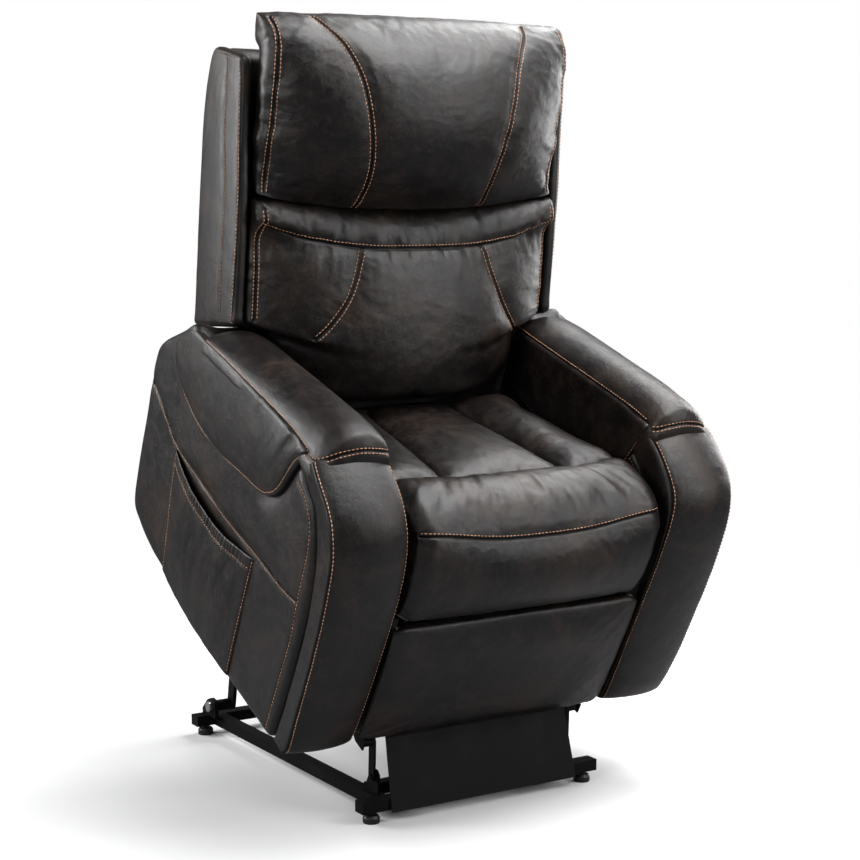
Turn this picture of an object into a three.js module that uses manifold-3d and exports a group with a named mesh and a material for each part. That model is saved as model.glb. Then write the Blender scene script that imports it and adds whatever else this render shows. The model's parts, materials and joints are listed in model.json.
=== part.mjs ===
// Power lift recliner chair.
// Millimetres, +Z up, -Y is the front of the chair, +X is the sitter's left.
// The origin lies on the floor, at the middle of the raised chair's footprint, on its centre plane.
// The base stands flat on the floor; the upholstered body is tipped forward by LIFT_TILT.
// The body is laid out in its own level frame and turned as one group.
// Points and outlines are (y, z) pairs; ranges are [low, high] pairs.
import * as THREE from "three";
import { mergeVertices } from "three/addons/utils/BufferGeometryUtils.js";
import Module from "manifold-3d";

const wasm = await Module();
wasm.setup();

// ---------- driving dimensions ----------
const LIFT_TILT = 30; // degrees
const GAP = 0.3; // running gap between pieces that touch
const OVERLAP = 1; // how far a boss or pin runs into the plate it joins
const SHIFT_Y = 59.3; // moves both groups back to centre the footprint on the origin

// base frame
const TUBE_HALF_LENGTH = 262;
const TUBE_DEPTH = 29.5;
const TUBE_Z = [21, 42.7];
const TUBE_WALL = 2;
const FRONT_TUBE_Y = -314.2;
const REAR_TUBE_Y = 372;
const BRACKET_Z = TUBE_Z[1] + GAP; // underside of the pivot brackets
const RAIL_IN = 198;
const RAIL_OUT = 223;
const FOOT_X = 236.8;
const FOOT_FRONT_Y = -300;
const FOOT_REAR_Y = 386.6;

// lift linkage, base frame, raised
const REAR_PIVOT = [357, 66];
const FRONT_PIVOT = [-270, 75];
const ARM_TOP_PIVOT = [-129.09, 243.01]; // BODY_ARM_PIVOT after the tilt, to about 0.01
const LINK_TOP_PIVOT = [-272.73, 142.77]; // BODY_LINK_PIVOT after the tilt, to about 0.01
const ARM_IN = 186;
const ARM_OUT = 194;
const LIFT_MOTOR_PIN = [-190, 62];
const LIFT_ROD_PIN = [100, 217];

// body mechanism, level frame
const BODY_ARM_PIVOT = [9.7, 275];
const BODY_LINK_PIVOT = [-164.8, 260];
const CHASSIS_IN = 240;
const CHASSIS_OUT = 243;
const BACK_PIVOT = [400, 500];
const RECLINE_X = -90; // centre of the recline actuator
const RECLINE_MOTOR_PIN = [40, 468];
const RECLINE_ROD_PIN = [420, 430];
const LEG_X = 90; // centre of the footrest actuator
const LEG_MOTOR_PIN = [310, 430];
const LEG_CHASSIS_PIVOT = [80, 440];
const LEG_DRIVE = [15.5, 363.6]; // centre of the drive tube, on the drive link
const LEG_ROD_PIN = [LEG_DRIVE[0] + 26, LEG_DRIVE[1] + 4];
const LEG_ELBOW = [-49, 287.3];
const LEG_BOARD_PIVOT = [-160, 500];
const DRIVE_LINK_IN = 233;
const DRIVE_LINK_OUT = 237;

// upholstery, level frame
const SEAT_HALF = 262;
const ARM_GAP_HALF = 268; // half width of the backrest between the arms
const BACK_HALF = 327;
const SHELL_HALF = 360;
const ARM_INNER = 285;
const ARM_OUTER = 415;
const SIDE_MOUNT = ARM_OUTER + 0.4; // inner face of the pocket and the holster
const SIDE_OUT = 440; // outer face of the pocket and the holster
const HAND_Y = 135; // centre of the hand control
const BOARD_FRONT_Y = -176; // front face of the footrest board

// ---------- materials ----------
const standard = (color, roughness, metalness) =>
  new THREE.MeshStandardMaterial({ color, roughness, metalness });
const finish = ({ color, roughness, metalness = 0 }) => () =>
  standard(color, roughness, metalness);
const leather = finish({ color: 0x3a2b25, roughness: 0.42 });
const steel = finish({ color: 0x17181a, roughness: 0.45, metalness: 0.6 });
const zinc = finish({ color: 0xb9bcc0, roughness: 0.35, metalness: 0.9 });
const plastic = finish({ color: 0x101113, roughness: 0.5 });
const cloth = finish({ color: 0x1c1b1c, roughness: 0.95 });
const wood = finish({ color: 0xa98257, roughness: 0.8 });

// ---------- ranges ----------
const around = (centre, half) => [centre - half, centre + half];
const inset = ([low, high], margin) => [low + margin, high - margin];
const middle = ([low, high]) => (low + high) / 2;
const size = ([low, high]) => high - low;
// Each side's function turns distances from the centre plane into an x range.
const SIDES = {
  l: (inner, outer) => [inner, outer],
  r: (inner, outer) => [-outer, -inner],
};

// ---------- shape helpers ----------
const vectors = (points) => points.map(([x, y]) => new THREE.Vector2(x, y));

function arc([y, z], radius, angles) {
  return angles.map((t) => [y + radius * Math.cos(t), z + radius * Math.sin(t)]);
}

// An outline drawn out along x; holes are [centre, radius] pairs.
function extrudeX(outline, xRange, holes = []) {
  const shape = new THREE.Shape(vectors(outline));
  const turns = Array.from({ length: 16 }, (_, i) => (2 * Math.PI * i) / 16);
  for (const [centre, radius] of holes) {
    shape.holes.push(new THREE.Path(vectors(arc(centre, radius, turns))));
  }
  const solid = new THREE.ExtrudeGeometry(shape, { depth: size(xRange), bevelEnabled: false });
  solid.translate(0, 0, xRange[0]);
  const [xAxis, yAxis, zAxis] = [[1, 0, 0], [0, 1, 0], [0, 0, 1]].map(
    (axis) => new THREE.Vector3(...axis),
  );
  return solid.applyMatrix4(new THREE.Matrix4().makeBasis(yAxis, zAxis, xAxis));
}

// The same outline twice, mirrored about the plane x = centre.
function platePair(outline, centre, inner, outer) {
  return [
    extrudeX(outline, [centre - outer, centre - inner]),
    extrudeX(outline, [centre + inner, centre + outer]),
  ];
}

function box(xRange, yRange, zRange) {
  const solid = new THREE.BoxGeometry(size(xRange), size(yRange), size(zRange));
  return solid.translate(middle(xRange), middle(yRange), middle(zRange));
}

function rodX([y, z], radius, xRange, segments = 16) {
  const rod = new THREE.CylinderGeometry(radius, radius, size(xRange), segments);
  rod.rotateZ(Math.PI / 2);
  rod.rotateX(Math.PI / segments);
  return rod.translate(middle(xRange), y, z);
}

function rodZ(x, y, radius, zRange, segments) {
  const rod = new THREE.CylinderGeometry(radius, radius, size(zRange), segments);
  rod.rotateX(Math.PI / 2);
  return rod.translate(x, y, middle(zRange));
}

// A rod at one x, between two (y, z) points.
function rodBetween(x, start, end, radius, segments) {
  const rise = end[1] - start[1];
  const run = end[0] - start[0];
  const rod = new THREE.CylinderGeometry(radius, radius, Math.hypot(run, rise), segments);
  rod.rotateX(Math.atan2(rise, run));
  return rod.translate(x, (start[0] + end[0]) / 2, (start[1] + end[1]) / 2);
}

// The point at a distance from start towards end, offset to the left of that direction.
function along(start, end, distance, offset = 0) {
  const length = Math.hypot(end[0] - start[0], end[1] - start[1]);
  const [dy, dz] = [(end[0] - start[0]) / length, (end[1] - start[1]) / length];
  return [start[0] + dy * distance - dz * offset, start[1] + dz * distance + dy * offset];
}

// Outline of a flat bar with round ends that follows a polyline.
function bar(path, halfWidth) {
  const last = path.length - 1;
  const left = [];
  const right = [];
  path.forEach(([y, z], i) => {
    const before = path[Math.max(i - 1, 0)];
    const after = path[Math.min(i + 1, last)];
    const length = Math.hypot(after[0] - before[0], after[1] - before[1]);
    const dy = ((after[0] - before[0]) / length) * halfWidth;
    const dz = ((after[1] - before[1]) / length) * halfWidth;
    left.push([y - dz, z + dy]);
    right.unshift([y + dz, z - dy]);
  });
  const heading = (a, b) => Math.atan2(b[1] - a[1], b[0] - a[0]);
  const cap = (centre, from) =>
    arc(centre, halfWidth, [1, 2, 3, 4, 5].map((k) => from - (Math.PI * k) / 6));
  const endCap = cap(path[last], heading(path[last - 1], path[last]) + Math.PI / 2);
  const startCap = cap(path[0], heading(path[0], path[1]) - Math.PI / 2);
  return [...left, ...endCap, ...right, ...startCap];
}

function toSolid(geometry) {
  const loose = geometry.index ? geometry.toNonIndexed() : geometry.clone();
  loose.deleteAttribute("normal");
  loose.deleteAttribute("uv");
  const merged = mergeVertices(loose, 1e-4);
  return new wasm.Manifold(new wasm.Mesh({
    numProp: 3,
    vertProperties: merged.attributes.position.array,
    triVerts: new Uint32Array(merged.index.array),
  }));
}

function toGeometry(solid) {
  const mesh = solid.getMesh();
  const geometry = new THREE.BufferGeometry();
  const positions = new Float32Array(mesh.vertProperties);
  geometry.setAttribute("position", new THREE.BufferAttribute(positions, 3));
  geometry.setIndex(new THREE.BufferAttribute(new Uint32Array(mesh.triVerts), 1));
  geometry.computeVertexNormals();
  return geometry;
}

const join = (...parts) => toGeometry(parts.map(toSolid).reduce((a, b) => a.add(b)));
const cut = (blank, ...tools) =>
  toGeometry(tools.map(toSolid).reduce((a, b) => a.subtract(b), toSolid(blank)));

// ---------- base frame ----------
function crossTube(frontY, footY) {
  const yRange = [frontY, frontY + TUBE_DEPTH];
  const xRange = around(0, TUBE_HALF_LENGTH);
  const endWall = 4;
  const studHole = (x) => rodZ(x, footY, 4.6, [TUBE_Z[0] - 2, TUBE_Z[0] + 5], 20);
  return cut(
    box(xRange, yRange, TUBE_Z),
    box(inset(xRange, endWall), inset(yRange, TUBE_WALL), inset(TUBE_Z, TUBE_WALL)),
    studHole(FOOT_X),
    studHole(-FOOT_X),
  );
}

// Open-ended tube between the cross tubes.
function rail(span) {
  const xRange = span(RAIL_IN, RAIL_OUT);
  const yRange = [FRONT_TUBE_Y + TUBE_DEPTH + GAP, REAR_TUBE_Y - GAP];
  return cut(
    box(xRange, yRange, TUBE_Z),
    box(inset(xRange, TUBE_WALL), inset(yRange, -5), inset(TUBE_Z, TUBE_WALL)),
  );
}

// Plate across the front, leaning back towards its top.
function kickPlate() {
  const bottomHalf = 206;
  const topHalf = 198.8;
  const height = 160;
  const lean = 14; // degrees
  const outline = [[-bottomHalf, 0], [bottomHalf, 0], [topHalf, height], [-topHalf, height]];
  const shape = new THREE.Shape(vectors(outline));
  const plate = new THREE.ExtrudeGeometry(shape, { depth: 2, bevelEnabled: false });
  plate.rotateX(Math.PI / 2 - (lean * Math.PI) / 180);
  return plate.translate(0, -320.9, 18);
}

// Cross member behind the kick plate, with the lift motor's clevis.
function liftMotorTube() {
  return join(
    box(around(0, RAIL_IN - GAP), [-232, -207], [24, 46]),
    ...platePair(bar([[-219, 44], [-192, 62]], 10), 0, 17, 21),
    rodX(LIFT_MOTOR_PIN, 5, around(0, 20)),
  );
}

function rearBracket(span) {
  const crown = arc(REAR_PIVOT, 17, [1, 2, 3, 4, 5, 6].map((k) => 0.6 + k * 0.36));
  const outline = [
    [338, BRACKET_Z], [398, BRACKET_Z], [398, 54], [376, 76], ...crown, [338, 60],
  ];
  return extrudeX(outline, span(230, 238), [[REAR_PIVOT, 5.6]]);
}

function rearBolt(span) {
  const head = rodX(REAR_PIVOT, 11, span(238.4, 246), 20);
  return join(head, rodX(REAR_PIVOT, 5, span(200, 239)));
}

// Bracket on the rail, with the front link's pin.
function frontBracket(span) {
  const outline = [
    [-283.5, BRACKET_Z], [-235, BRACKET_Z], [-244, 62], [-256, 82], [-264, 87.5],
    [-276, 87.5], [-283.5, 79],
  ];
  return join(extrudeX(outline, span(208, 213)), rodX(FRONT_PIVOT, 5, span(212.5, 222.5)));
}

// Round pad on a stud.
function levellingFoot(x, y) {
  const radius = 15.8;
  const height = 14.5;
  const profile = [ // (radius, height)
    [0, 0], [radius - 1, 0], [radius, 2], [radius, 10], [radius - 3, height], [0, height],
  ];
  const pad = new THREE.LatheGeometry(vectors(profile), 24);
  pad.rotateX(Math.PI / 2);
  pad.translate(x, y, 0);
  return join(pad, rodZ(x, y, 4, [height - 2, 36], 16));
}

// ---------- lift linkage ----------
function liftArm(span) {
  const path = [
    REAR_PIVOT, [352, 96], [346, 130], [326, 158], [290, 172], [100, 206], ARM_TOP_PIVOT,
  ];
  const bossIn = ARM_OUT - OVERLAP;
  const arm = join(
    extrudeX(bar(path, 12.5), span(ARM_IN, ARM_OUT)),
    rodX(REAR_PIVOT, 11.5, span(bossIn, 229.6), 20),
    rodX(ARM_TOP_PIVOT, 9.5, span(bossIn, 239.6), 20),
  );
  const rearBore = rodX(REAR_PIVOT, 5.6, span(196, 236));
  const topBore = rodX(ARM_TOP_PIVOT, 4.6, span(220, 245));
  return cut(arm, rearBore, topBore);
}

function liftArmTube() {
  return join(
    box(around(0, ARM_IN - GAP), [118, 143], [188, 213]),
    ...platePair(bar([[126, 209], LIFT_ROD_PIN], 10), 0, 13, 17),
    rodX(LIFT_ROD_PIN, 8, [16, 21]),
    rodX(LIFT_ROD_PIN, 8, [-21, -16]),
  );
}

function frontLink(span) {
  const outline = bar([FRONT_PIVOT, LINK_TOP_PIVOT], 9);
  return extrudeX(outline, span(215, 220), [[FRONT_PIVOT, 5.4]]);
}

// ---------- actuators ----------
// A housing of eye, gearbox, motor can and outer tube, and the rod that slides in it.
// Distances run from the motor pin; tubeEnd is the far end of the outer tube.
function addActuator(group, name, spec) {
  const { x, motorPin, rodPin, tubeEnd, tubeRadius, rodRadius, eyeHalf } = spec;
  const at = (distance, offset) => along(motorPin, rodPin, distance, offset);
  const block = (from, to, half, xRange) =>
    extrudeX([at(from, -half), at(to, -half), at(to, half), at(from, half)], xRange);

  const housing = join(
    extrudeX(bar([motorPin, at(24)], 11), around(x, 12), [[motorPin, 5.6]]),
    block(20, 74, 21, around(x, 24)), // gearbox
    rodBetween(x + 42, at(24), at(116), 17, 20), // motor can
    block(28, 66, 14, [x + 20, x + 44]), // bridge from gearbox to motor can
    rodBetween(x, at(70), at(tubeEnd), tubeRadius, 20),
  );
  const bore = rodBetween(x, at(84), at(tubeEnd + 8), rodRadius + 1.2, 16);
  add(group, `${name}_motor`, cut(housing, bore), plastic);

  const length = Math.hypot(rodPin[0] - motorPin[0], rodPin[1] - motorPin[1]);
  const rod = rodBetween(x, at(tubeEnd - 60), at(length - 8), rodRadius, 16);
  const eye = extrudeX(bar([at(length - 12), rodPin], eyeHalf), around(x, 8));
  add(group, `${name}_rod`, join(rod, eye), zinc);
}

// ---------- chassis of the body ----------
function chassisSide(span) {
  const outline = [
    [-176, 251], [-150, 249], [-120, 262], [-10, 262], [20, 262], [60, 300], [330, 330],
    [440, 380], [455, 470], [424, 520], [380, 520], [350, 495], [-90, 495], [-105, 440],
    [-110, 330], [-150, 290], [-176, 272],
  ];
  const pinOut = CHASSIS_IN + OVERLAP;
  return join(
    extrudeX(outline, span(CHASSIS_IN, CHASSIS_OUT)),
    rodX(LEG_CHASSIS_PIVOT, 5, span(231.6, pinOut)),
    rodX(BODY_LINK_PIVOT, 9, span(221.2, pinOut)),
    rodX(BODY_ARM_PIVOT, 4, span(224, pinOut)),
  );
}

// Cross tube with a clevis and pin for an actuator's motor end.
function chassisTube(yRange, zRange, earRoot, pin, pinX) {
  return join(
    box(around(0, CHASSIS_IN - GAP), yRange, zRange),
    ...platePair(bar([earRoot, pin], 9), pinX, 14, 18),
    rodX(pin, 5, around(pinX, 16)),
  );
}

// Bar on the back pivot, with two struts up to the backrest and the recline lever.
function backHingeBar() {
  const strut = [[396, 496], [416, 494], [466, 552], [436, 590], [404, 520]];
  return join(
    rodX(BACK_PIVOT, 11, around(0, CHASSIS_IN - GAP), 20),
    ...platePair(strut, 0, 220, 230),
    ...platePair(bar([[402, 496], RECLINE_ROD_PIN], 9), RECLINE_X, 11, 15),
  );
}

// ---------- upholstery outlines, level frame ----------
const SEAT_CUSHION = [
  [-128, 526], [350, 526], [366, 560], [372, 640], [300, 652], [200, 676], [100, 704],
  [20, 742], [-40, 764], [-90, 762], [-128, 745],
];
const SEAT_FRONT = [
  [-132, 558], [-132, 744], [-148, 742], [-166, 734], [-188, 705], [-201, 660], [-203, 620],
  [-196, 575], [-188, 558],
];
const ARM_FRAME = [
  [-92, 270], [-60, 265.6], [120, 245], [364, 244.6], [451, 245.7], [515.5, 260.4],
  [553.4, 286.7], [577.5, 438], [597.5, 580], [594.4, 633.4], [498.7, 731.2], [470, 742],
  [432, 728], [300, 748], [150, 774], [0, 786], [-34, 776], [-60, 730], [-80, 660],
  [-88, 560], [-98, 400],
];
const ARM_PAD = [
  [430, 734], [446, 748], [436, 768], [378, 790], [257, 815], [127, 846], [64, 858],
  [0, 867], [-32, 864], [-52, 845], [-50, 826], [-34, 806], [0, 792], [150, 780], [300, 754],
];
const ARM_FRONT = [
  [-56, 812], [-94, 810], [-139, 786], [-168, 751], [-189, 711], [-197, 660], [-204, 560],
  [-207, 470], [-202, 377], [-186, 292], [-165, 275], [-114, 263.5], [-97, 266],
  [-106, 400], [-96, 560], [-88, 662], [-68, 734], [-44, 780], [-42, 798],
];
const HEADREST = [
  [505, 996], [560, 996], [606, 1092], [640, 1180], [662, 1224], [690, 1226], [692, 1262],
  [672, 1296], [640, 1310], [580, 1302], [520, 1262], [474, 1190], [456, 1110], [466, 1040],
];
const FOOTREST_BACK_Y = BOARD_FRONT_Y - GAP;
const FOOTREST_PAD = [
  [FOOTREST_BACK_Y, 302], [FOOTREST_BACK_Y, 548], [-192, 547], [-200, 520], [-203, 450],
  [-203, 380], [-200, 320], [-190, 303],
];

// ---------- side pocket and hand control ----------
// Pocket on the sitter's right, open along its top edge.
function sidePocket() {
  const wall = 4;
  const outline = [[403, 506], [84, 524], [60, 505], [54, 262], [372, 254], [414, 470]];
  const hollow = [[396, 520], [90, 536], [66, 505], [62, 275], [368, 266], [407, 470]];
  const xRange = [-SIDE_OUT, -SIDE_MOUNT];
  return cut(extrudeX(outline, xRange), extrudeX(hollow, inset(xRange, wall)));
}

const HOLSTER_HOLLOW_X = [SIDE_MOUNT + 3, SIDE_OUT - 2.4];
const KEY_HALF_Y = 11;
const KEY_HALF_Z = 8;
const KEY_GAP = 0.6; // around each button in its recess
const KEYS = [ // name, y from the control's centre, z
  ["raise", -13, 652],
  ["lower", 13, 652],
  ["footrest", -13, 632],
  ["recline", 13, 632],
];

// Holster on the sitter's left, open at the top.
function holster() {
  return cut(
    box([SIDE_MOUNT, SIDE_OUT], around(HAND_Y, 36), [520, 606]),
    box(HOLSTER_HOLLOW_X, around(HAND_Y, 31), [525, 616]),
  );
}

function keyBox(xRange, y, z, gap) {
  const yRange = around(HAND_Y + y, KEY_HALF_Y - gap);
  return box(xRange, yRange, around(z, KEY_HALF_Z - gap));
}

function handCase() {
  const blank = box(inset(HOLSTER_HOLLOW_X, 1), around(HAND_Y, 28), [530, 670]);
  return cut(blank, ...KEYS.map(([, y, z]) => keyBox([SIDE_OUT - 8, SIDE_OUT], y, z, 0)));
}

// ---------- backrest ----------
// Full width above the arms, narrower between them, with a wing at each side.
function backShell() {
  const rearEdge = [
    [625, 800], [679, 929], [733, 1070], [749, 1159], [744, 1185], [712, 1198],
  ];
  const frontEdge = [[668, 1214], [646, 1180], [612, 1090], [566, 990], [516, 860]];
  const upper = [[515, 790], [590, 716], ...rearEdge, ...frontEdge];
  const centre = [
    [440, 600], [470, 560], [545, 585], [590, 702], ...rearEdge, ...frontEdge, [478, 740],
  ];
  const wing = [
    [446, 806], [500, 776], [590, 716], ...rearEdge,
    [632, 1224], [606, 1178], [566, 1090], [518, 992],
  ];
  return join(
    extrudeX(upper, around(0, SHELL_HALF)),
    extrudeX(centre, around(0, ARM_GAP_HALF)),
    ...platePair(wing, 0, 338, SHELL_HALF),
  );
}

// Full width above the arms, narrower where it drops between them.
function backCushion() {
  const centre = [
    [340, 668], [420, 665], [462, 712], [508, 858], [556, 984], [512, 984], [480, 972],
    [452, 958], [430, 925], [385, 862], [340, 800], [312, 745], [312, 700],
  ];
  const upper = [
    [508, 858], [556, 984], [512, 984], [480, 972], [452, 958], [430, 925], [392, 872],
    [372, 832], [440, 806], [490, 806],
  ];
  return join(
    extrudeX(centre, around(0, ARM_GAP_HALF)),
    extrudeX(upper, around(0, BACK_HALF)),
  );
}

// ---------- footrest ----------
function driveLink(span) {
  const outline = bar([LEG_CHASSIS_PIVOT, LEG_DRIVE, LEG_ELBOW], 11);
  return join(
    extrudeX(outline, span(DRIVE_LINK_IN, DRIVE_LINK_OUT), [[LEG_CHASSIS_PIVOT, 5.5]]),
    rodX(LEG_ELBOW, 5, span(226, DRIVE_LINK_IN + OVERLAP)),
  );
}

function reachLink(span) {
  const outline = bar([LEG_ELBOW, LEG_BOARD_PIVOT], 10);
  return extrudeX(outline, span(227, 231), [[LEG_ELBOW, 5.5], [LEG_BOARD_PIVOT, 5.5]]);
}

// Square tube between the drive links, with ears for the actuator rod.
function driveTube() {
  const [y, z] = LEG_DRIVE;
  return join(
    box(around(0, DRIVE_LINK_IN - GAP), around(y, 9), around(z, 9)),
    ...platePair(bar([[y + 6, z + 1], LEG_ROD_PIN], 8), LEG_X, 11, 15),
  );
}

// Board behind the footrest pad, with lugs and pins for the reach links.
function footrestBoard() {
  const lug = [[-171.4, 478], [-171.4, 520], [-158, 509], [-152, 500], [-158, 491]];
  return join(
    box(around(0, 258), [BOARD_FRONT_Y, BOARD_FRONT_Y + 5], [304, 546]),
    ...platePair(lug, 0, 221.4, 225),
    ...Object.values(SIDES).map((span) => rodX(LEG_BOARD_PIVOT, 4.8, span(224, 231.6))),
  );
}

// ---------- assembly ----------
function add(group, name, geometry, material) {
  const mesh = new THREE.Mesh(geometry, material());
  mesh.name = name;
  group.add(mesh);
}

// One piece on each side; build takes the side's range function.
function addPair(group, name, build, material) {
  for (const [tag, span] of Object.entries(SIDES)) {
    add(group, `${name}_${tag}`, build(span), material);
  }
}

function buildBase() {
  const base = new THREE.Group();
  add(base, "base_front_tube", crossTube(FRONT_TUBE_Y, FOOT_FRONT_Y), steel);
  add(base, "base_rear_tube", crossTube(REAR_TUBE_Y, FOOT_REAR_Y), steel);
  addPair(base, "base_rail", rail, steel);
  add(base, "base_kick_plate", kickPlate(), steel);
  add(base, "lift_motor_cross_tube", liftMotorTube(), steel);
  addPair(base, "rear_bracket", rearBracket, steel);
  addPair(base, "rear_pivot_bolt", rearBolt, zinc);
  addPair(base, "front_bracket", frontBracket, steel);
  for (const [end, y] of [["f", FOOT_FRONT_Y], ["r", FOOT_REAR_Y]]) {
    add(base, `levelling_foot_${end}l`, levellingFoot(FOOT_X, y), plastic);
    add(base, `levelling_foot_${end}r`, levellingFoot(-FOOT_X, y), plastic);
  }
  addPair(base, "lift_arm", liftArm, steel);
  add(base, "lift_arm_cross_tube", liftArmTube(), steel);
  addPair(base, "front_link", frontLink, steel);
  addActuator(base, "lift_actuator", {
    x: 0, motorPin: LIFT_MOTOR_PIN, rodPin: LIFT_ROD_PIN,
    tubeEnd: 228, tubeRadius: 17, rodRadius: 8, eyeHalf: 9,
  });
  return base;
}

function buildBody() {
  const body = new THREE.Group();
  const addWide = (name, outline, half) =>
    add(body, name, extrudeX(outline, around(0, half)), leather);
  const addArmPart = (name, outline, inner, outer) =>
    addPair(body, name, (span) => extrudeX(outline, span(inner, outer)), leather);

  addPair(body, "chassis_side", chassisSide, steel);
  const frontTube = chassisTube([-20, 5], [457, 482], [4, 470], RECLINE_MOTOR_PIN, RECLINE_X);
  add(body, "chassis_front_tube", frontTube, steel);
  const rearTube = chassisTube([332, 357], [455, 480], [342, 460], LEG_MOTOR_PIN, LEG_X);
  add(body, "chassis_rear_tube", rearTube, steel);
  add(body, "seat_deck", box(around(0, 255), [-125, 345], [500, 522]), cloth);
  add(body, "power_supply", box([-62, 40], [225, 322], [455, 496]), plastic);

  addWide("seat_cushion", SEAT_CUSHION, SEAT_HALF);
  addWide("seat_front_panel", SEAT_FRONT, SEAT_HALF);
  addArmPart("arm_frame", ARM_FRAME, ARM_INNER, ARM_OUTER);
  addArmPart("arm_pad", ARM_PAD, 276, 424);
  addArmPart("arm_front_panel", ARM_FRONT, 278.5, 416);
  add(body, "side_pocket_r", sidePocket(), leather);
  add(body, "rear_panel", box(around(0, 270), [540, 552], [306, 470]), cloth);

  add(body, "hand_control_holster", holster(), leather);
  add(body, "hand_control_case", handCase(), plastic);
  for (const [name, y, z] of KEYS) {
    const button = keyBox([SIDE_OUT - 5.8, SIDE_OUT - 1.4], y, z, KEY_GAP);
    add(body, `button_${name}`, button, plastic);
  }

  add(body, "back_shell", backShell(), leather);
  add(body, "back_cushion", backCushion(), leather);
  add(body, "back_hinge_bar", backHingeBar(), steel);
  addWide("headrest_cushion", HEADREST, BACK_HALF);

  addPair(body, "footrest_drive_link", driveLink, steel);
  addPair(body, "footrest_reach_link", reachLink, steel);
  add(body, "footrest_drive_tube", driveTube(), steel);
  add(body, "footrest_board", footrestBoard(), wood);
  addWide("footrest_pad", FOOTREST_PAD, SEAT_HALF);

  const slim = { tubeRadius: 14, rodRadius: 7, eyeHalf: 8 };
  addActuator(body, "footrest_actuator", {
    ...slim, x: LEG_X, motorPin: LEG_MOTOR_PIN, rodPin: LEG_ROD_PIN, tubeEnd: 190,
  });
  addActuator(body, "recline_actuator", {
    ...slim, x: RECLINE_X, motorPin: RECLINE_MOTOR_PIN, rodPin: RECLINE_ROD_PIN, tubeEnd: 296,
  });
  return body;
}

const chair = new THREE.Group();
const base = buildBase();
const body = buildBody();
base.position.y = SHIFT_Y;
body.position.y = SHIFT_Y;
body.rotation.x = (LIFT_TILT * Math.PI) / 180;
chair.add(base, body);

export default chair;
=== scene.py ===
"""An armchair in distressed leather: headrest and back pillows between two side cheeks,
a channelled seat, a footrest and two padded arms with a pocket and a holster.

Pieces are built in the chair's level frame, in metres: +X is the chair's left, -Y its front,
+Z up. to_world() tilts that frame 30 degrees about X and moves it along Y.
"""
import json
import math
from typing import NamedTuple

import bmesh
import bpy
import numpy as np
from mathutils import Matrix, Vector
from mathutils.bvhtree import BVHTree
from mathutils.kdtree import KDTree


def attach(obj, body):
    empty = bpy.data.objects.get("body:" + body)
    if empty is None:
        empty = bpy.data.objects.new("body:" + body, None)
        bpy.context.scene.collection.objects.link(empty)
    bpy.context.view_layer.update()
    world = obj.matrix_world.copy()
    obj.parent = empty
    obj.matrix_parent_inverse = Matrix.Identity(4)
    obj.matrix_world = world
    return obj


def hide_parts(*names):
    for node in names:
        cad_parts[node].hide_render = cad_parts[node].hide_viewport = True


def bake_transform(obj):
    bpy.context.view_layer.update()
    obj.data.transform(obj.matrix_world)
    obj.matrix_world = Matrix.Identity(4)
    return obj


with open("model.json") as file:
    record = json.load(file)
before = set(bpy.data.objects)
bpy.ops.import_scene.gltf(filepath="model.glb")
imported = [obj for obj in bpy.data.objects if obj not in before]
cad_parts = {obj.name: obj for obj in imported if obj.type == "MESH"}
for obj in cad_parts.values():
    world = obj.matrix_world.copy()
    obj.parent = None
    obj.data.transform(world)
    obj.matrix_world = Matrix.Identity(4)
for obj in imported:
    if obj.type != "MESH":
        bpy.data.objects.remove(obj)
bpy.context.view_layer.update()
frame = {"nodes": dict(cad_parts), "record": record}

SHIFT_Y = 0.0593
TILT = math.radians(30)
COS_TILT, SIN_TILT = math.cos(TILT), math.sin(TILT)
SIDES = ((1, "l"), (-1, "r"))  # sign of x and name tag
CURVE_STEPS = 14  # samples per span of a curve

STITCH_PITCH = 0.0076
STITCH_LENGTH = 0.0056
STITCH_RADIUS = 0.00080
STITCH_LIFT = 0.00042
# share of the stitch's length, share of its radius, share of its lift
STITCH_PROFILE = np.array([
    (0, 0.35, -0.9), (0.22, 1.0, 0.35), (0.5, 1.0, 1.0), (0.78, 1.0, 0.35), (1, 0.35, -0.9),
])
STITCH_SIDES = 5

PIN_REACH = 0.006  # cloth closer than this to a seam is held still
CLOTH_FRAMES = 20

HEAD_HALF = 0.318  # half widths
BACK_HALF = 0.322
SEAT_HALF = 0.262
FOOT_HALF = 0.2665
CHEEK_INNER_X, CHEEK_OUTER_X = 0.337, 0.3605
ARM_INNER_X, ARM_OUTER_X = 0.2865, 0.4155
DRAPE_X = 0.2795
HOLSTER_Y = 0.135


# ------------------------------------------------------------------ frames and curves
def to_world(points):
    """Level chair coordinates to world coordinates."""
    points = np.asarray(points, float)
    y, z = points[..., 1], points[..., 2]
    world_y = COS_TILT * y - SIN_TILT * z + SHIFT_Y
    return np.stack([points[..., 0], world_y, SIN_TILT * y + COS_TILT * z], -1)


def points_at(x, y, z):
    """Points from three coordinates, each an array or a number."""
    return np.stack(np.broadcast_arrays(x, y, z), -1)


def at_x(x, line):
    """A (y, z) line as points at x."""
    return points_at(x, line[:, 0], line[:, 1])


def blend(first, second, share):
    return first * (1 - share) + second * share


def unit(vectors):
    return vectors / np.maximum(np.linalg.norm(vectors, axis=-1, keepdims=True), 1e-9)


def catmull(points, steps=CURVE_STEPS):
    """A Catmull-Rom curve through the points."""
    p = np.asarray(points, float)
    q = np.vstack([2 * p[0] - p[1], p, 2 * p[-1] - p[-2]])
    out = []
    for i in range(1, len(q) - 2):
        a, b, c, d = q[i - 1], q[i], q[i + 1], q[i + 2]
        for t in np.linspace(0, 1, steps, endpoint=False):
            square = (2 * a - 5 * b + 4 * c - d) * t * t
            cube = (3 * b - 3 * c + d - a) * t**3
            out.append(0.5 * (2 * b + (c - a) * t + square + cube))
    out.append(q[-2])
    return np.array(out)


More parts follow.
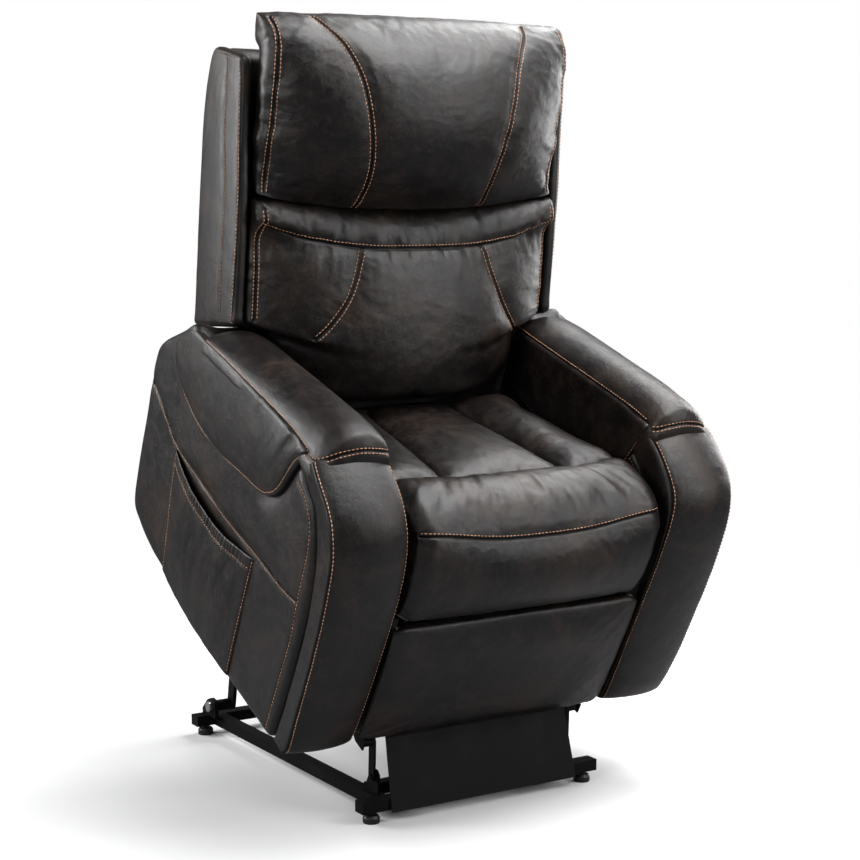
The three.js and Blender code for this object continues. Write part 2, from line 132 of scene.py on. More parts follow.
def arc(line):
    """Arc length at each point of a polyline."""
    return np.r_[0, np.cumsum(np.linalg.norm(np.diff(line, axis=0), axis=1))]


def sample(line, knots, where):
    """A polyline, given by its points at knots, looked up at where."""
    return np.stack([np.interp(where, knots, line[:, k]) for k in range(line.shape[1])], -1)


def even(line, count):
    """count points evenly spaced along a polyline."""
    lengths = arc(line)
    return sample(line, lengths, np.linspace(0, lengths[-1], count))


def at(line, share):
    """The point at a share of a polyline's length."""
    lengths = arc(line)
    return sample(line, lengths, share * lengths[-1])


def by_knot(points, count):
    """A curve sampled evenly by knot, so that rows of two curves match knot for knot."""
    line = catmull(points)
    return sample(line, np.arange(len(line)), np.linspace(0, len(line) - 1, count))


def lookup(table, column, value):
    """The other column of a two-column table where this column has the value."""
    table = np.asarray(table, float)
    table = table[np.argsort(table[:, column])]
    return np.interp(value, table[:, column], table[:, 1 - column])


def left_of(tangents):
    """Unit vectors to the left of 2-D tangents."""
    t = unit(tangents)
    return np.stack([-t[:, 1], t[:, 0]], -1)


def offset_line(line, distance):
    """A 2-D line moved to its left."""
    return line + left_of(np.gradient(line, axis=0)) * distance


def line_distance(line, points):
    """Distance from each 2-D point to a polyline."""
    best = np.full(len(points), 9.0)
    for a, b in zip(line[:-1], line[1:]):
        span = b - a
        t = np.clip(((points - a) @ span) / max(span @ span, 1e-12), 0, 1)
        best = np.minimum(best, np.linalg.norm(points - a - t[:, None] * span, axis=1))
    return best


def inset_ring(ring, distance):
    """A closed ring of 2-D points moved inwards."""
    following = np.roll(ring, -1, 0)
    area = 0.5 * np.sum(ring[:, 0] * following[:, 1] - following[:, 0] * ring[:, 1])
    inwards = left_of(following - np.roll(ring, 1, 0))
    return ring + inwards * distance * (1 if area > 0 else -1)


def ring_of(out, back, count):
    """A closed ring that runs along out to its end, and home along back reversed."""
    out, back = even(out, count + 1), even(back, count + 1)
    if np.allclose(out[-1], back[-1]):
        return np.vstack([out, back[::-1][1:-1]])
    return np.vstack([out[:-1], (out[-1:] + back[-1:]) / 2, back[::-1][1:-1]])


# ------------------------------------------------------------------ noise
def smooth(start, end, x):
    t = np.clip((x - start) / (end - start), 0, 1)
    return t * t * (3 - 2 * t)


def bell(distance, width):
    return np.exp(-((distance / width) ** 2))


def value_noise(p, seed=0):
    """Smooth value noise in -1..1 at points p, the same on every run."""
    cell = np.floor(p).astype(np.int64)
    f = p - cell
    f = f * f * f * (f * (f * 6 - 15) + 10)
    mask = np.int64(0xFFFFFFFF)

    def corner(a, b, c):
        n = (a * 374761393 + b * 668265263 + c * 974634777 + seed * 1274126177) & mask
        n = ((n ^ (n >> 13)) * 1103515245) & mask
        n = ((n ^ (n >> 15)) * 668265263) & mask
        return ((n ^ (n >> 16)) & 0xFFFFFF) / float(0xFFFFFF) * 2 - 1

    def mix(a, b, share):
        return a + (b - a) * share

    x, y, z = cell[..., 0], cell[..., 1], cell[..., 2]
    fx, fy, fz = f[..., 0], f[..., 1], f[..., 2]

    def layer(level):
        near_row = mix(corner(x, y, level), corner(x + 1, y, level), fx)
        far_row = mix(corner(x, y + 1, level), corner(x + 1, y + 1, level), fx)
        return mix(near_row, far_row, fy)

    return mix(layer(z), layer(z + 1), fz)


def layered_noise(p, octaves, seed):
    out, amplitude, total = 0, 1.0, 0.0
    for k in range(octaves):
        out = out + amplitude * value_noise(p * 2.0**k, seed + 17 * k)
        total += amplitude
        amplitude *= 0.5
    return out / total


def folds(seed, x, y, z):
    """Two octaves of noise at coordinates already scaled by the folds per metre."""
    return layered_noise(points_at(x, y, z), 2, seed)


def wrinkles(verts, height, scale, seed):
    """Fine creases in leather that is drawn over foam."""
    w = layered_noise(verts * np.array(scale), 3, seed)
    return height * (1 - np.abs(w) * 2.2)


def creased(height, scale, seed):
    """A shape for soft() of fine creases alone."""
    return lambda verts, normals, gap: wrinkles(verts, height, scale, seed)


# ------------------------------------------------------------------ materials
class Shader:
    """The emptied node tree of a material or a world."""

    def __init__(self, owner, output="OutputMaterial"):
        owner.use_nodes = True
        self.owner = owner
        self.tree = owner.node_tree
        self.tree.nodes.clear()
        self.output = self.node(output)

    def node(self, kind, inputs=None, **settings):
        """A node with its settings; each input is given a socket to link or a value."""
        node = self.tree.nodes.new("ShaderNode" + kind)
        for name, value in settings.items():
            setattr(node, name, value)
        for key, value in (inputs or {}).items():
            socket = node.inputs[key]
            if hasattr(value, "node"):
                self.tree.links.new(value, socket)
            elif isinstance(value, tuple) and socket.type == "RGBA":
                socket.default_value = (*value, 1)
            else:
                socket.default_value = value
        return node

    def object_coords(self):
        return self.node("TexCoord").outputs["Object"]

    def finish(self, socket):
        self.tree.links.new(socket, self.output.inputs[0])
        return self.owner

    def principled(self, **inputs):
        named = {name.replace("_", " "): value for name, value in inputs.items()}
        return self.finish(self.node("BsdfPrincipled", named).outputs[0])

    def noise(self, scale, detail=4, rough=0.55, distort=0.0, stretch=None):
        coords = self.coords
        if stretch:
            coords = self.node("Mapping", {"Vector": coords, "Scale": stretch}).outputs[0]
        return self.node("TexNoise", {
            "Vector": coords, "Scale": scale, "Detail": detail, "Roughness": rough,
            "Distortion": distort,
        }).outputs[0]

    def wave(self, scale, **settings):
        return self.node("TexWave", {"Vector": self.coords, "Scale": scale}, **settings)

    def ramp(self, source, *stops):
        """Colour ramp through stops of (position, colour)."""
        ramp = self.node("ValToRGB", {"Fac": source})
        elements = ramp.color_ramp.elements
        while len(elements) < len(stops):
            elements.new(0.5)
        for element, (position, color) in zip(elements, stops):
            element.position = position
            element.color = (*color, 1)
        return ramp.outputs[0]

    def mask(self, source, black, white):
        return self.ramp(source, (black, (0, 0, 0)), (white, (1, 1, 1)))

    def remap(self, source, span, to):
        return self.node("MapRange", {
            "Value": source, "From Min": span[0], "From Max": span[1],
            "To Min": to[0], "To Max": to[1],
        }).outputs[0]

    def math(self, operation, *inputs):
        return self.node("Math", dict(enumerate(inputs)), operation=operation).outputs[0]

    def mix(self, share, first, second, mode="MIX"):
        inputs = {0: share, 6: first, 7: second}
        return self.node("Mix", inputs, data_type="RGBA", blend_type=mode).outputs[2]

    def bump(self, height, strength, distance, below=None):
        inputs = {"Height": height, "Strength": strength, "Distance": distance}
        if below is not None:
            inputs["Normal"] = below
        return self.node("Bump", inputs).outputs[0]


def material_shader(name):
    shader = Shader(bpy.data.materials.new(name))
    shader.coords = shader.object_coords()
    return shader


def leather_material():
    """Charcoal brown, rubbed lighter in cloudy patches and along hairline creases."""
    shader = material_shader("leather")
    clouds = shader.noise(scale=6.5, detail=6, rough=0.64, distort=0.7)
    rubs = shader.noise(scale=31, detail=6, rough=0.66, distort=0.4)
    fine = shader.noise(scale=260, detail=3, rough=0.6)
    veins = shader.noise(scale=46, detail=7, rough=0.68, distort=1.1)

    color = shader.ramp(
        clouds, (0.38, (0.0042, 0.0034, 0.0034)), (0.52, (0.0085, 0.0064, 0.0058)),
        (0.66, (0.0230, 0.0150, 0.0112)),
    )
    worn = shader.remap(shader.mask(rubs, black=0.50, white=0.70), span=(0, 1), to=(0.0, 0.50))
    color = shader.mix(worn, color, (0.030, 0.0195, 0.0145))
    # hairlines follow the middle value of the veins
    from_middle = shader.math("ABSOLUTE", shader.math("SUBTRACT", veins, 0.5))
    hairs = shader.remap(from_middle, span=(0.0, 0.018), to=(1.0, 0.0))
    in_clouds = shader.remap(clouds, span=(0.40, 0.62), to=(0.10, 0.85))
    rubbed = shader.math("MULTIPLY", hairs, in_clouds)
    rubbed = shader.remap(rubbed, span=(0, 1), to=(0.0, 0.55))
    color = shader.mix(rubbed, color, (0.050, 0.032, 0.024))
    specks = shader.ramp(fine, (0.38, (0.62, 0.62, 0.62)), (0.66, (1.38, 1.32, 1.26)))
    color = shader.mix(0.7, color, specks, "MULTIPLY")
    # painted shade darkens the seam grooves, and the seams are dull
    seam = shader.node("Attribute", attribute_name="seam").outputs["Fac"]
    painted_seam_shade = shader.remap(seam, span=(0, 1), to=(0.0, 0.80))
    color = shader.mix(painted_seam_shade, color, (0.0012, 0.0010, 0.0010))

    roughness = shader.math(
        "ADD", shader.remap(rubs, span=(0.3, 0.72), to=(0.30, 0.45)),
        shader.remap(fine, span=(0.3, 0.7), to=(-0.05, 0.05)),
    )
    cells = shader.node(
        "TexVoronoi", {"Vector": shader.coords, "Scale": 520}, feature="DISTANCE_TO_EDGE")
    grain = shader.remap(cells.outputs["Distance"], span=(0.0, 0.22), to=(0.0, 1.0))
    normal = shader.bump(grain, strength=0.28, distance=0.0005)
    creases = shader.noise(scale=95, detail=5, rough=0.65)
    normal = shader.bump(creases, strength=0.34, distance=0.0016, below=normal)
    swells = shader.noise(scale=24, detail=3, rough=0.5)
    normal = shader.bump(swells, strength=0.18, distance=0.006, below=normal)
    normal = shader.bump(hairs, strength=-0.12, distance=0.0008, below=normal)
    return shader.principled(
        Base_Color=color, Roughness=roughness, Coat_Weight=0.06, Coat_Roughness=0.28,
        Specular_IOR_Level=shader.remap(seam, span=(0, 1), to=(0.40, 0.05)), Normal=normal)


def thread_material():
    shader = material_shader("stitching")
    shades = shader.noise(scale=90, detail=2)
    twist = shader.wave(scale=900).outputs[0]
    return shader.principled(
        Base_Color=shader.ramp(shades, (0.35, (0.44, 0.185, 0.095)), (0.65, (0.78, 0.46, 0.29))),
        Roughness=0.62, Normal=shader.bump(twist, strength=0.3, distance=0.0003))


def steel_material():
    shader = material_shader("frame_steel")
    peel = shader.noise(scale=420, detail=3)
    dust = shader.noise(scale=12, detail=5, rough=0.6)
    dusty = shader.mask(dust, black=0.45, white=0.75)
    return shader.principled(
        Base_Color=shader.mix(dusty, (0.0024, 0.0024, 0.0028), (0.0062, 0.0062, 0.0068)),
        Roughness=shader.remap(dust, span=(0.3, 0.7), to=(0.44, 0.6)), Specular_IOR_Level=0.13,
        Normal=shader.bump(peel, strength=0.16, distance=0.0006))


def zinc_material():
    shader = material_shader("zinc_steel")
    mottle = shader.noise(scale=60, detail=4)
    brushed = shader.noise(scale=40, detail=3, stretch=(1, 9, 9))
    return shader.principled(
        Base_Color=shader.ramp(mottle, (0.3, (0.36, 0.37, 0.39)), (0.7, (0.62, 0.62, 0.63))),
        Metallic=1.0, Roughness=shader.remap(brushed, span=(0.3, 0.7), to=(0.22, 0.42)),
        Normal=shader.bump(mottle, strength=0.1, distance=0.0004))


def plastic_material(name, dark, light, roughness):
    shader = material_shader(name)
    mottle = shader.noise(scale=30, detail=4)
    pits = shader.noise(scale=900, detail=2)
    return shader.principled(
        Base_Color=shader.mix(mottle, dark, light),
        Roughness=shader.remap(mottle, span=(0.3, 0.7), to=roughness),
        Normal=shader.bump(pits, strength=0.2, distance=0.0003))


def cloth_material():
    shader = material_shader("lining_cloth")
    shades = shader.noise(scale=60, detail=3)
    threads = [shader.wave(scale=210, bands_direction=way).outputs[1] for way in "XZ"]
    weave = shader.math("MAXIMUM", *threads)
    return shader.principled(
        Base_Color=shader.ramp(shades, (0.3, (0.010, 0.010, 0.011)), (0.7, (0.022, 0.021, 0.022))),
        Roughness=0.95, Sheen_Weight=0.15,
        Normal=shader.bump(weave, strength=0.5, distance=0.0008))


def wood_material():
    shader = material_shader("board_wood")
    grain = shader.noise(scale=14, detail=6, rough=0.6, distort=0.8, stretch=(1, 12, 12))
    return shader.principled(
        Base_Color=shader.ramp(grain, (0.3, (0.30, 0.19, 0.10)), (0.7, (0.50, 0.35, 0.20))),
        Roughness=0.7, Normal=shader.bump(grain, strength=0.3, distance=0.001))


MATERIALS = {
    "leather": leather_material(),
    "stitching": thread_material(),
    "frame_steel": steel_material(),
    "zinc_steel": zinc_material(),
    "black_plastic": plastic_material(
        "black_plastic", dark=(0.008, 0.008, 0.009), light=(0.017, 0.017, 0.019),
        roughness=(0.38, 0.55)),
    "key_plastic": plastic_material(
        "key_plastic", dark=(0.30, 0.31, 0.32), light=(0.42, 0.43, 0.44), roughness=(0.45, 0.6)),
    "lining_cloth": cloth_material(),
    "board_wood": wood_material(),
}


# ------------------------------------------------------------------ mesh helpers
def link_object(name, data):
    ob = bpy.data.objects.new(name, data)
    bpy.context.scene.collection.objects.link(ob)
    return ob


def make_mesh(name, verts, faces):
    mesh = bpy.data.meshes.new(name)
    mesh.from_pydata(verts.tolist(), [], faces)
    return mesh


def new_object(name, verts, faces, slot, body, stands=()):
    """A smooth mesh object given in the level frame, with its slot and the body it rides."""
    mesh = make_mesh(name, to_world(verts), faces)
    mesh.materials.append(MATERIALS[slot])
    mesh.polygons.foreach_set("use_smooth", np.ones(len(mesh.polygons), bool))
    ob = link_object(name, mesh)
    if body:
        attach(ob, body)
    if stands:
        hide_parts(*stands)
    return ob


def outward(verts, faces):
    """The mesh with doubles merged and one consistent outward winding."""
    bm = bmesh.new()
    corners = [bm.verts.new(p) for p in verts.tolist()]
    for face in faces:
        try:
            bm.faces.new([corners[i] for i in face])
        except ValueError:  # the same face is already there
            pass
    bmesh.ops.remove_doubles(bm, verts=bm.verts, dist=1e-5)
    bmesh.ops.recalc_face_normals(bm, faces=bm.faces)
    bm.verts.index_update()
    new_verts = np.array([vert.co[:] for vert in bm.verts])
    new_faces = [[vert.index for vert in face.verts] for face in bm.faces]
    bm.free()
    return new_verts, new_faces


def read_vectors(collection, attribute):
    values = np.zeros(len(collection) * 3, np.float32)
    collection.foreach_get(attribute, values)
    return values.reshape(-1, 3).astype(float)


def vertex_normals(verts, faces):
    mesh = make_mesh("tmp", verts, faces)
    normals = read_vectors(mesh.vertex_normals, "vector")
    bpy.data.meshes.remove(mesh)
    return normals


def evaluated(ob):
    return ob.evaluated_get(bpy.context.evaluated_depsgraph_get())


def remove_object(ob):
    mesh = ob.data
    bpy.data.objects.remove(ob)
    bpy.data.meshes.remove(mesh)


def subdivide(verts, faces):
    """One level of Catmull-Clark."""
    ob = link_object("tmp", make_mesh("tmp", verts, faces))
    modifier = ob.modifiers.new("s", "SUBSURF")
    modifier.levels = modifier.render_levels = 1
    modifier.quality = 2
    result = evaluated(ob)
    mesh = result.to_mesh()
    new_verts = read_vectors(mesh.vertices, "co")
    corners = np.zeros(len(mesh.loops), np.int32)
    mesh.loops.foreach_get("vertex_index", corners)
    new_faces = corners.reshape(-1, 4).tolist()
    result.to_mesh_clear()
    remove_object(ob)
    return new_verts, new_faces


def simulate(verts, faces, pinned, pressure, cap, shrink):
    """The mesh puffed up by cloth pressure, moved by cap at most, with pinned vertices held."""
    ob = link_object("sim", make_mesh("sim", verts, faces))
    group = ob.vertex_groups.new(name="pin")
    for i in np.nonzero(pinned)[0]:
        group.add([int(i)], 1.0, "REPLACE")
    cloth = ob.modifiers.new("Cloth", "CLOTH")
    settings = cloth.settings
    settings.quality = 5
    settings.mass = 0.3
    settings.tension_stiffness = settings.compression_stiffness = 12.0
    settings.shear_stiffness = 5
    settings.bending_stiffness = 0.4
    settings.air_damping = 3
    settings.use_pressure = True
    settings.uniform_pressure_force = pressure
    settings.vertex_group_mass = "pin"
    settings.shrink_min = shrink
    settings.effector_weights.gravity = 0
    cloth.collision_settings.use_collision = False
    cloth.point_cache.frame_start, cloth.point_cache.frame_end = 1, CLOTH_FRAMES
    scene = bpy.context.scene
    for k in range(1, CLOTH_FRAMES + 1):
        scene.frame_set(k)
    result = evaluated(ob)
    puffed = read_vectors(result.to_mesh().vertices, "co")
    result.to_mesh_clear()
    remove_object(ob)
    scene.frame_set(1)

    move = puffed - verts
    length = np.linalg.norm(move, axis=1)
    if not np.isfinite(length).all():  # the simulation blew up
        return verts
    move = move * (np.minimum(length, cap) / np.maximum(length, 1e-9))[:, None]
    # most of the short folds are evened out, so that the skin looks filled, not crumpled
    edges = np.array([(q[i], q[(i + 1) % len(q)]) for q in faces for i in range(len(q))])
    edges = np.vstack([edges, edges[:, ::-1]])
    start, end = edges.T
    count = np.maximum(np.bincount(start, minlength=len(verts)), 1)[:, None]
    soft_move = move.copy()
    for _ in range(24):
        sums = [np.bincount(start, soft_move[end, c], minlength=len(verts)) for c in range(3)]
        soft_move = np.where(pinned[:, None], move, np.stack(sums, -1) / count)
    return verts + soft_move * 0.64 + move * 0.36


def tube_faces(rings, size, start=0):
    faces = []
    for k in range(rings - 1):
        low, high = start + k * size, start + (k + 1) * size
        for i in range(size):
            j = (i + 1) % size
            faces.append([low + i, low + j, high + j, high + i])
    return faces


def capped(rings, columns, bulges=(0.0, 0.0), ways=((0, 0, 0), (0, 0, 0))):
    """Rings joined in a tube with both ends closed.

    An end is closed between its points i and size - i, through columns inner points,
    with its middle pushed by its bulge along its way.
    """
    rings = np.array(rings)
    ring_count, size, _ = rings.shape
    verts = [rings.reshape(-1, 3)]
    faces = tube_faces(ring_count, size)
    total = ring_count * size
    half = size // 2
    for row, bulge, way in zip((0, ring_count - 1), bulges, ways):
        ring = rings[row]
        strips = {0: [row * size], half: [row * size + half]}
        for i in range(1, half):
            strip = [row * size + i]
            fade = min(1.0, 1.6 * math.sin(math.pi * i / half))
            for q in range(1, columns + 1):
                share = q / (columns + 1)
                push = np.array(way) * bulge * math.sin(math.pi * share) ** 0.8 * fade
                verts.append((blend(ring[i], ring[size - i], share) + push)[None])
                strip.append(total)
                total += 1
            strip.append(row * size + size - i)
            strips[i] = strip
        for i in range(half):
            a, b = strips[i], strips[i + 1]
            for q in range(max(len(a), len(b)) - 1):
                if len(a) == 1:
                    faces.append([a[0], b[q], b[q + 1]])
                elif len(b) == 1:
                    faces.append([a[q], b[0], a[q + 1]])
                else:
                    faces.append([a[q], b[q], b[q + 1], a[q + 1]])
    return np.concatenate(verts), faces


def slab(ring, start, end, radius, middles, columns, bulge, steps):
    """A padded panel: the (y, z) ring drawn out along x, edges rounded, both faces crowned."""
    way = 1 if end > start else -1
    first = []  # x, inset
    for k in range(steps + 1):
        angle = math.pi / 2 * k / steps
        first.append((start + radius * (1 - math.cos(angle)) * way, radius * (1 - math.sin(angle))))
    middle = []
    for share in np.linspace(0, 1, middles + 2)[1:-1]:
        x = start + (end - start) * share
        if min(abs((end - start) * share), abs((end - start) * (1 - share))) > radius * 1.2:
            middle.append((x, 0.0))
    last = [(end + (start - x), inset) for x, inset in reversed(first)]
    rings = [at_x(x, inset_ring(ring, inset)) for x, inset in first + middle + last]
    return capped(rings, columns, (bulge, bulge), ((-way, 0, 0), (way, 0, 0)))


def two_layers(outer, inner):
    """Two matching grids of points as one closed skin."""
    rows, columns, _ = outer.shape
    size = rows * columns
    faces = []
    for i in range(rows - 1):
        for j in range(columns - 1):
            k = i * columns + j
            m = size + k
            faces.append([k, k + 1, k + columns + 1, k + columns])
            faces.append([m, m + columns, m + columns + 1, m + 1])
    for i in range(rows - 1):
        for j in (0, columns - 1):
            k = i * columns + j
            faces.append([k, k + columns, size + k + columns, size + k])
    for j in range(columns - 1):
        for i in (0, rows - 1):
            k = i * columns + j
            faces.append([k, k + 1, size + k + 1, size + k])
    return np.vstack([outer.reshape(-1, 3), inner.reshape(-1, 3)]), faces


# ------------------------------------------------------------------ soft pieces
class Seam(NamedTuple):
    path: np.ndarray
    depth: float  # of the groove
    width: float  # of the groove
    rows: tuple = (-0.0046, 0.0046)  # offsets of the stitch rows
    valley: float = 0.0  # depth of the wide hollow round the groove
    reach: float = 0.012  # of the hollow
    pucker: float = 0.0  # height of the folds beside the seam


def projected(path, tree, step=0.002):
    """Points about every step along path, brought onto the surface, and its normals there."""
    path = np.asarray(path, float)
    hits = [tree.find_nearest(Vector(p)) for p in even(path, int(arc(path)[-1] / step) + 1)]
    points = np.array([hit[0][:] for hit in hits])
    normals = np.array([hit[1][:] for hit in hits])
    for _ in range(3):  # small steps between facets are evened out
        for line in (points, normals):
            line[1:-1] = (line[:-2] + 2 * line[1:-1] + line[2:]) / 4
    return points, unit(normals)


def nearest(verts, points):
    """For each vertex, the distance to the nearest point and that point's index."""
    tree = KDTree(len(points))
    for i, point in enumerate(points):
        tree.insert(point, i)
    tree.balance()
    found = [tree.find(vert) for vert in verts.tolist()]
    return np.array([hit[2] for hit in found]), np.array([hit[1] for hit in found])


def offset_row(points, normals, offset, tree):
    """A seam line moved sideways over the surface."""
    aside = np.cross(normals, unit(np.gradient(points, axis=0)))
    return projected(points + aside * offset, tree)


def stitches(rows):
    """One mesh of thread stitches along rows of (points, normals)."""
    verts, faces = [], []
    shares = STITCH_PROFILE[:, 0]
    for points, normals in rows:
        lengths = arc(points)
        for k in range(int(lengths[-1] / STITCH_PITCH)):
            start = (k + 0.5) * STITCH_PITCH - STITCH_LENGTH / 2
            where = start + STITCH_LENGTH * shares
            centres = sample(points, lengths, where)
            along = unit(centres[-1] - centres[0])
            aside = unit(np.cross(unit(sample(normals, lengths, where))[2], along))
            up = np.cross(along, aside)
            base = len(verts)
            for centre, (_, radius, lift) in zip(centres, STITCH_PROFILE):
                for a in range(STITCH_SIDES):
                    angle = 2 * math.pi * a / STITCH_SIDES
                    spoke = aside * math.cos(angle) + up * math.sin(angle)
                    raised = centre + up * (lift * STITCH_LIFT)
                    verts.append(raised + spoke * STITCH_RADIUS * radius)
            faces += tube_faces(len(shares), STITCH_SIDES, base)
            last = base + (len(shares) - 1) * STITCH_SIDES
            faces.append([base + a for a in range(STITCH_SIDES)][::-1])
            faces.append([last + a for a in range(STITCH_SIDES)])
    return np.array(verts), faces


def soft(name, mesh, body, stands=(), seams=(), *, shape, puff=0.0, spread=0.03,
         pressure=0.0, cap=0.0, shrink=0.0, hidden=None, refine=False):
    """A leather piece: filled out, pressed in along its seams, shaped and stitched.

    Cloth pressure fills it where given, else it is puffed out away from its seams. hidden
    tells which vertices stay put. shape(verts, normals, gap) gives the rise of the surface,
    gap being the distance to the nearest seam.
    """
    verts, faces = outward(*mesh)
    if refine:
        verts, faces = subdivide(verts, faces)
    held = hidden(verts) if hidden else np.zeros(len(verts), bool)
    gap = np.full(len(verts), 1.0)
    if seams:
        tree = BVHTree.FromPolygons(verts.tolist(), faces)
        paths = [projected(seam.path, tree, 0.003)[0] for seam in seams]
        gap = nearest(verts, np.concatenate(paths))[0]
    if pressure:
        verts = simulate(verts, faces, (gap < PIN_REACH) | held, pressure, cap, shrink)
    else:
        rise = puff * (1 - np.exp(-((gap / spread) ** 1.3))) * ~held
        verts = verts + vertex_normals(verts, faces) * rise[:, None]
    verts, faces = subdivide(verts, faces)

    normals = vertex_normals(verts, faces)
    seam_shade_mark = np.zeros(len(verts))
    rise = np.zeros(len(verts))
    gap = np.full(len(verts), 1.0)
    if seams:
        tree = BVHTree.FromPolygons(verts.tolist(), faces)
        paths = [projected(seam.path, tree, 0.0015) for seam in seams]
    for k, seam in enumerate(seams):
        points = paths[k][0]
        away, index = nearest(verts, points)
        along = arc(points)[index]
        gap = np.minimum(gap, away)
        rise -= seam.depth * bell(away, seam.width)
        seam_shade_mark = np.maximum(seam_shade_mark, bell(away, seam.width * 0.95))
        rise -= seam.valley * np.exp(-away / seam.reach)
        pucker = seam.pucker * folds(5 + k, along * 55, k * 7.3, away * 12)
        rise += pucker * np.exp(-away / 0.03) * (1 - np.exp(-away / 0.004))
    rise = rise + shape(verts, normals, gap)
    verts = verts + normals * rise[:, None]

    ob = new_object(name, verts, faces, "leather", body, stands)
    # the seam attribute marks where painted shade darkens the seam grooves and their sheen is
    # dulled
    attribute = ob.data.attributes.new("seam", "FLOAT", "POINT")
    attribute.data.foreach_set("value", seam_shade_mark.astype(np.float32))
    if seams:
        tree = BVHTree.FromPolygons(verts.tolist(), faces)
        rows = [offset_row(*path, offset, tree)
                for path, seam in zip(paths, seams) for offset in seam.rows]
        new_object("stitches_" + name, *stitches(rows), "stitching", body)


def pillow(centre, edge, rear, rows, half_width, power, gusset):
    """Rings from bottom or top along the curves, each of a gusset, the front panel, the other
    gusset and the back. half_width gives the front panel's half width at a height."""
    across = np.linspace(-1, 1, 57)
    across = np.sign(across) * (1 - (1 - np.abs(across)) ** 1.15)
    crown = np.abs(across) ** power
    rings = []
    for share in np.linspace(0, 1, rows):
        c, e, r = at(centre, share), at(edge, share), at(rear, share)
        width = half_width(e[1])
        front = points_at(across * width, blend(c[0], e[0], crown), blend(c[1], e[1], crown))
        left = []
        for t in np.linspace(0, 1, 5, endpoint=False):
            swell = gusset * math.sin(math.pi * (0.15 + 0.85 * (1 - t)))
            left.append((-(width + swell - 0.002 * (1 - t)), *blend(r, e, t)))
        left = np.array(left)
        half = np.vstack([left, front, left[::-1] * np.array([-1, 1, 1])])
        back_x = np.linspace(half[-1][0], half[0][0], len(half))[1:-1]
        rings.append(np.vstack([half, points_at(back_x, *r)]))
    return rings


def on_front(centre, edge, half_width, power, points):
    """A curve through points (x, share of the height) of a pillow's front panel."""
    out = []
    for x, share in points:
        crown = min(1.0, abs(x) / half_width) ** power
        out.append((x, *blend(at(centre, share), at(edge, share), crown)))
    return catmull(out)


def behind(rear):
    """A test for vertices at or behind a pillow's rear line."""
    line = even(rear, 30)
    return lambda verts: verts[:, 1] > lookup(line, 1, verts[:, 2]) - 0.008


PILLOW_FILL = dict(spread=0.035, pressure=4.0, shrink=-0.010, refine=True)

# ------------------------------------------------------------------ headrest pillow
# (y, z) bottom to top: middle of the front, its side edges, and the rear
HEAD_CENTRE = catmull([
    (0.505, 0.981), (0.478, 0.996), (0.461, 1.040), (0.455, 1.095), (0.464, 1.160),
    (0.488, 1.215), (0.531, 1.265), (0.585, 1.297), (0.640, 1.307), (0.672, 1.298),
])
HEAD_EDGE = catmull([
    (0.505, 1.006), (0.518, 1.018), (0.532, 1.060), (0.545, 1.125), (0.565, 1.195),
    (0.578, 1.235), (0.592, 1.268), (0.612, 1.290), (0.645, 1.299), (0.672, 1.294),
])
HEAD_REAR = catmull([
    (0.557, 0.999), (0.580, 1.045), (0.604, 1.094), (0.637, 1.181), (0.657, 1.228),
    (0.684, 1.236), (0.691, 1.262), (0.685, 1.282), (0.675, 1.290),
])
HEAD_POWER = 2.6
# (x, share of the height) of the seam that splits each side of the front
HEAD_SEAM = [
    (0.231, 0.955), (0.214, 0.85), (0.193, 0.765), (0.171, 0.64), (0.157, 0.50),
    (0.143, 0.343), (0.137, 0.21), (0.138, 0.03),
]


def head_shape(verts, normals, gap):
    x, y, z = verts.T
    wide = np.abs(x)
    rise = wrinkles(verts, 0.0007, (22, 22, 30), 3)
    # folds that fan from the gusset seams, then folds at the top and the bottom
    side = bell(wide - HEAD_HALF, 0.055) * (normals[:, 1] < 0.4)
    rise += 0.0038 * side * (folds(11, wide * 9, y * 20, (z + wide * 0.7) * 34) - 0.1)
    rise += 0.0016 * bell(z - 1.27, 0.04) * folds(23, x * 18, z * 6, y * 6)
    low = bell(z - 1.0, 0.035) * (normals[:, 1] < 0.2)
    rise += 0.0005 * low * folds(29, x * 24, z * 7, y * 5)
    return rise


def build_headrest():
    rings = pillow(HEAD_CENTRE, HEAD_EDGE, HEAD_REAR, rows=46, power=HEAD_POWER, gusset=0.014,
                   half_width=lambda z: HEAD_HALF)
    seams = []
    for side, _ in SIDES:
        points = [(side * x, share) for x, share in HEAD_SEAM]
        path = on_front(HEAD_CENTRE, HEAD_EDGE, HEAD_HALF, HEAD_POWER, points)
        seams.append(
            Seam(path, depth=0.003, width=0.0024, valley=0.003, reach=0.014, pucker=0.0018))
    for side, _ in SIDES:
        path = at_x(side * HEAD_HALF, even(HEAD_EDGE, 60))[2:56]
        seams.append(
            Seam(path, depth=0.0028, width=0.0024, valley=0.0035, reach=0.016, pucker=0.0034))
    mesh = capped(rings, 4, bulges=(0.004, 0.004), ways=((0, 0, -1), (0, 0.6, 0.8)))
    soft("headrest_pillow", mesh, "headrest", ["headrest_cushion"], seams, shape=head_shape,
         puff=0.007, cap=0.014, hidden=behind(HEAD_REAR), **PILLOW_FILL)


# ------------------------------------------------------------------ back pillow
# (y, z) top to bottom: middle of the front, its side edges, and the rear
BACK_CENTRE = catmull([
    (0.500, 0.979), (0.464, 0.962), (0.439, 0.937), (0.412, 0.905), (0.375, 0.858),
    (0.340, 0.800), (0.314, 0.745), (0.308, 0.695), (0.318, 0.665), (0.336, 0.650),
])
BACK_EDGE = catmull([
    (0.503, 1.000), (0.486, 0.990), (0.474, 0.969), (0.492, 0.932), (0.466, 0.876),
    (0.434, 0.800), (0.412, 0.745), (0.402, 0.700), (0.400, 0.668), (0.402, 0.652),
])
BACK_REAR = catmull([
    (0.552, 0.984), (0.529, 0.920), (0.507, 0.858), (0.486, 0.790), (0.462, 0.716),
    (0.432, 0.668), (0.424, 0.654),
])
BACK_POWER = 2.4
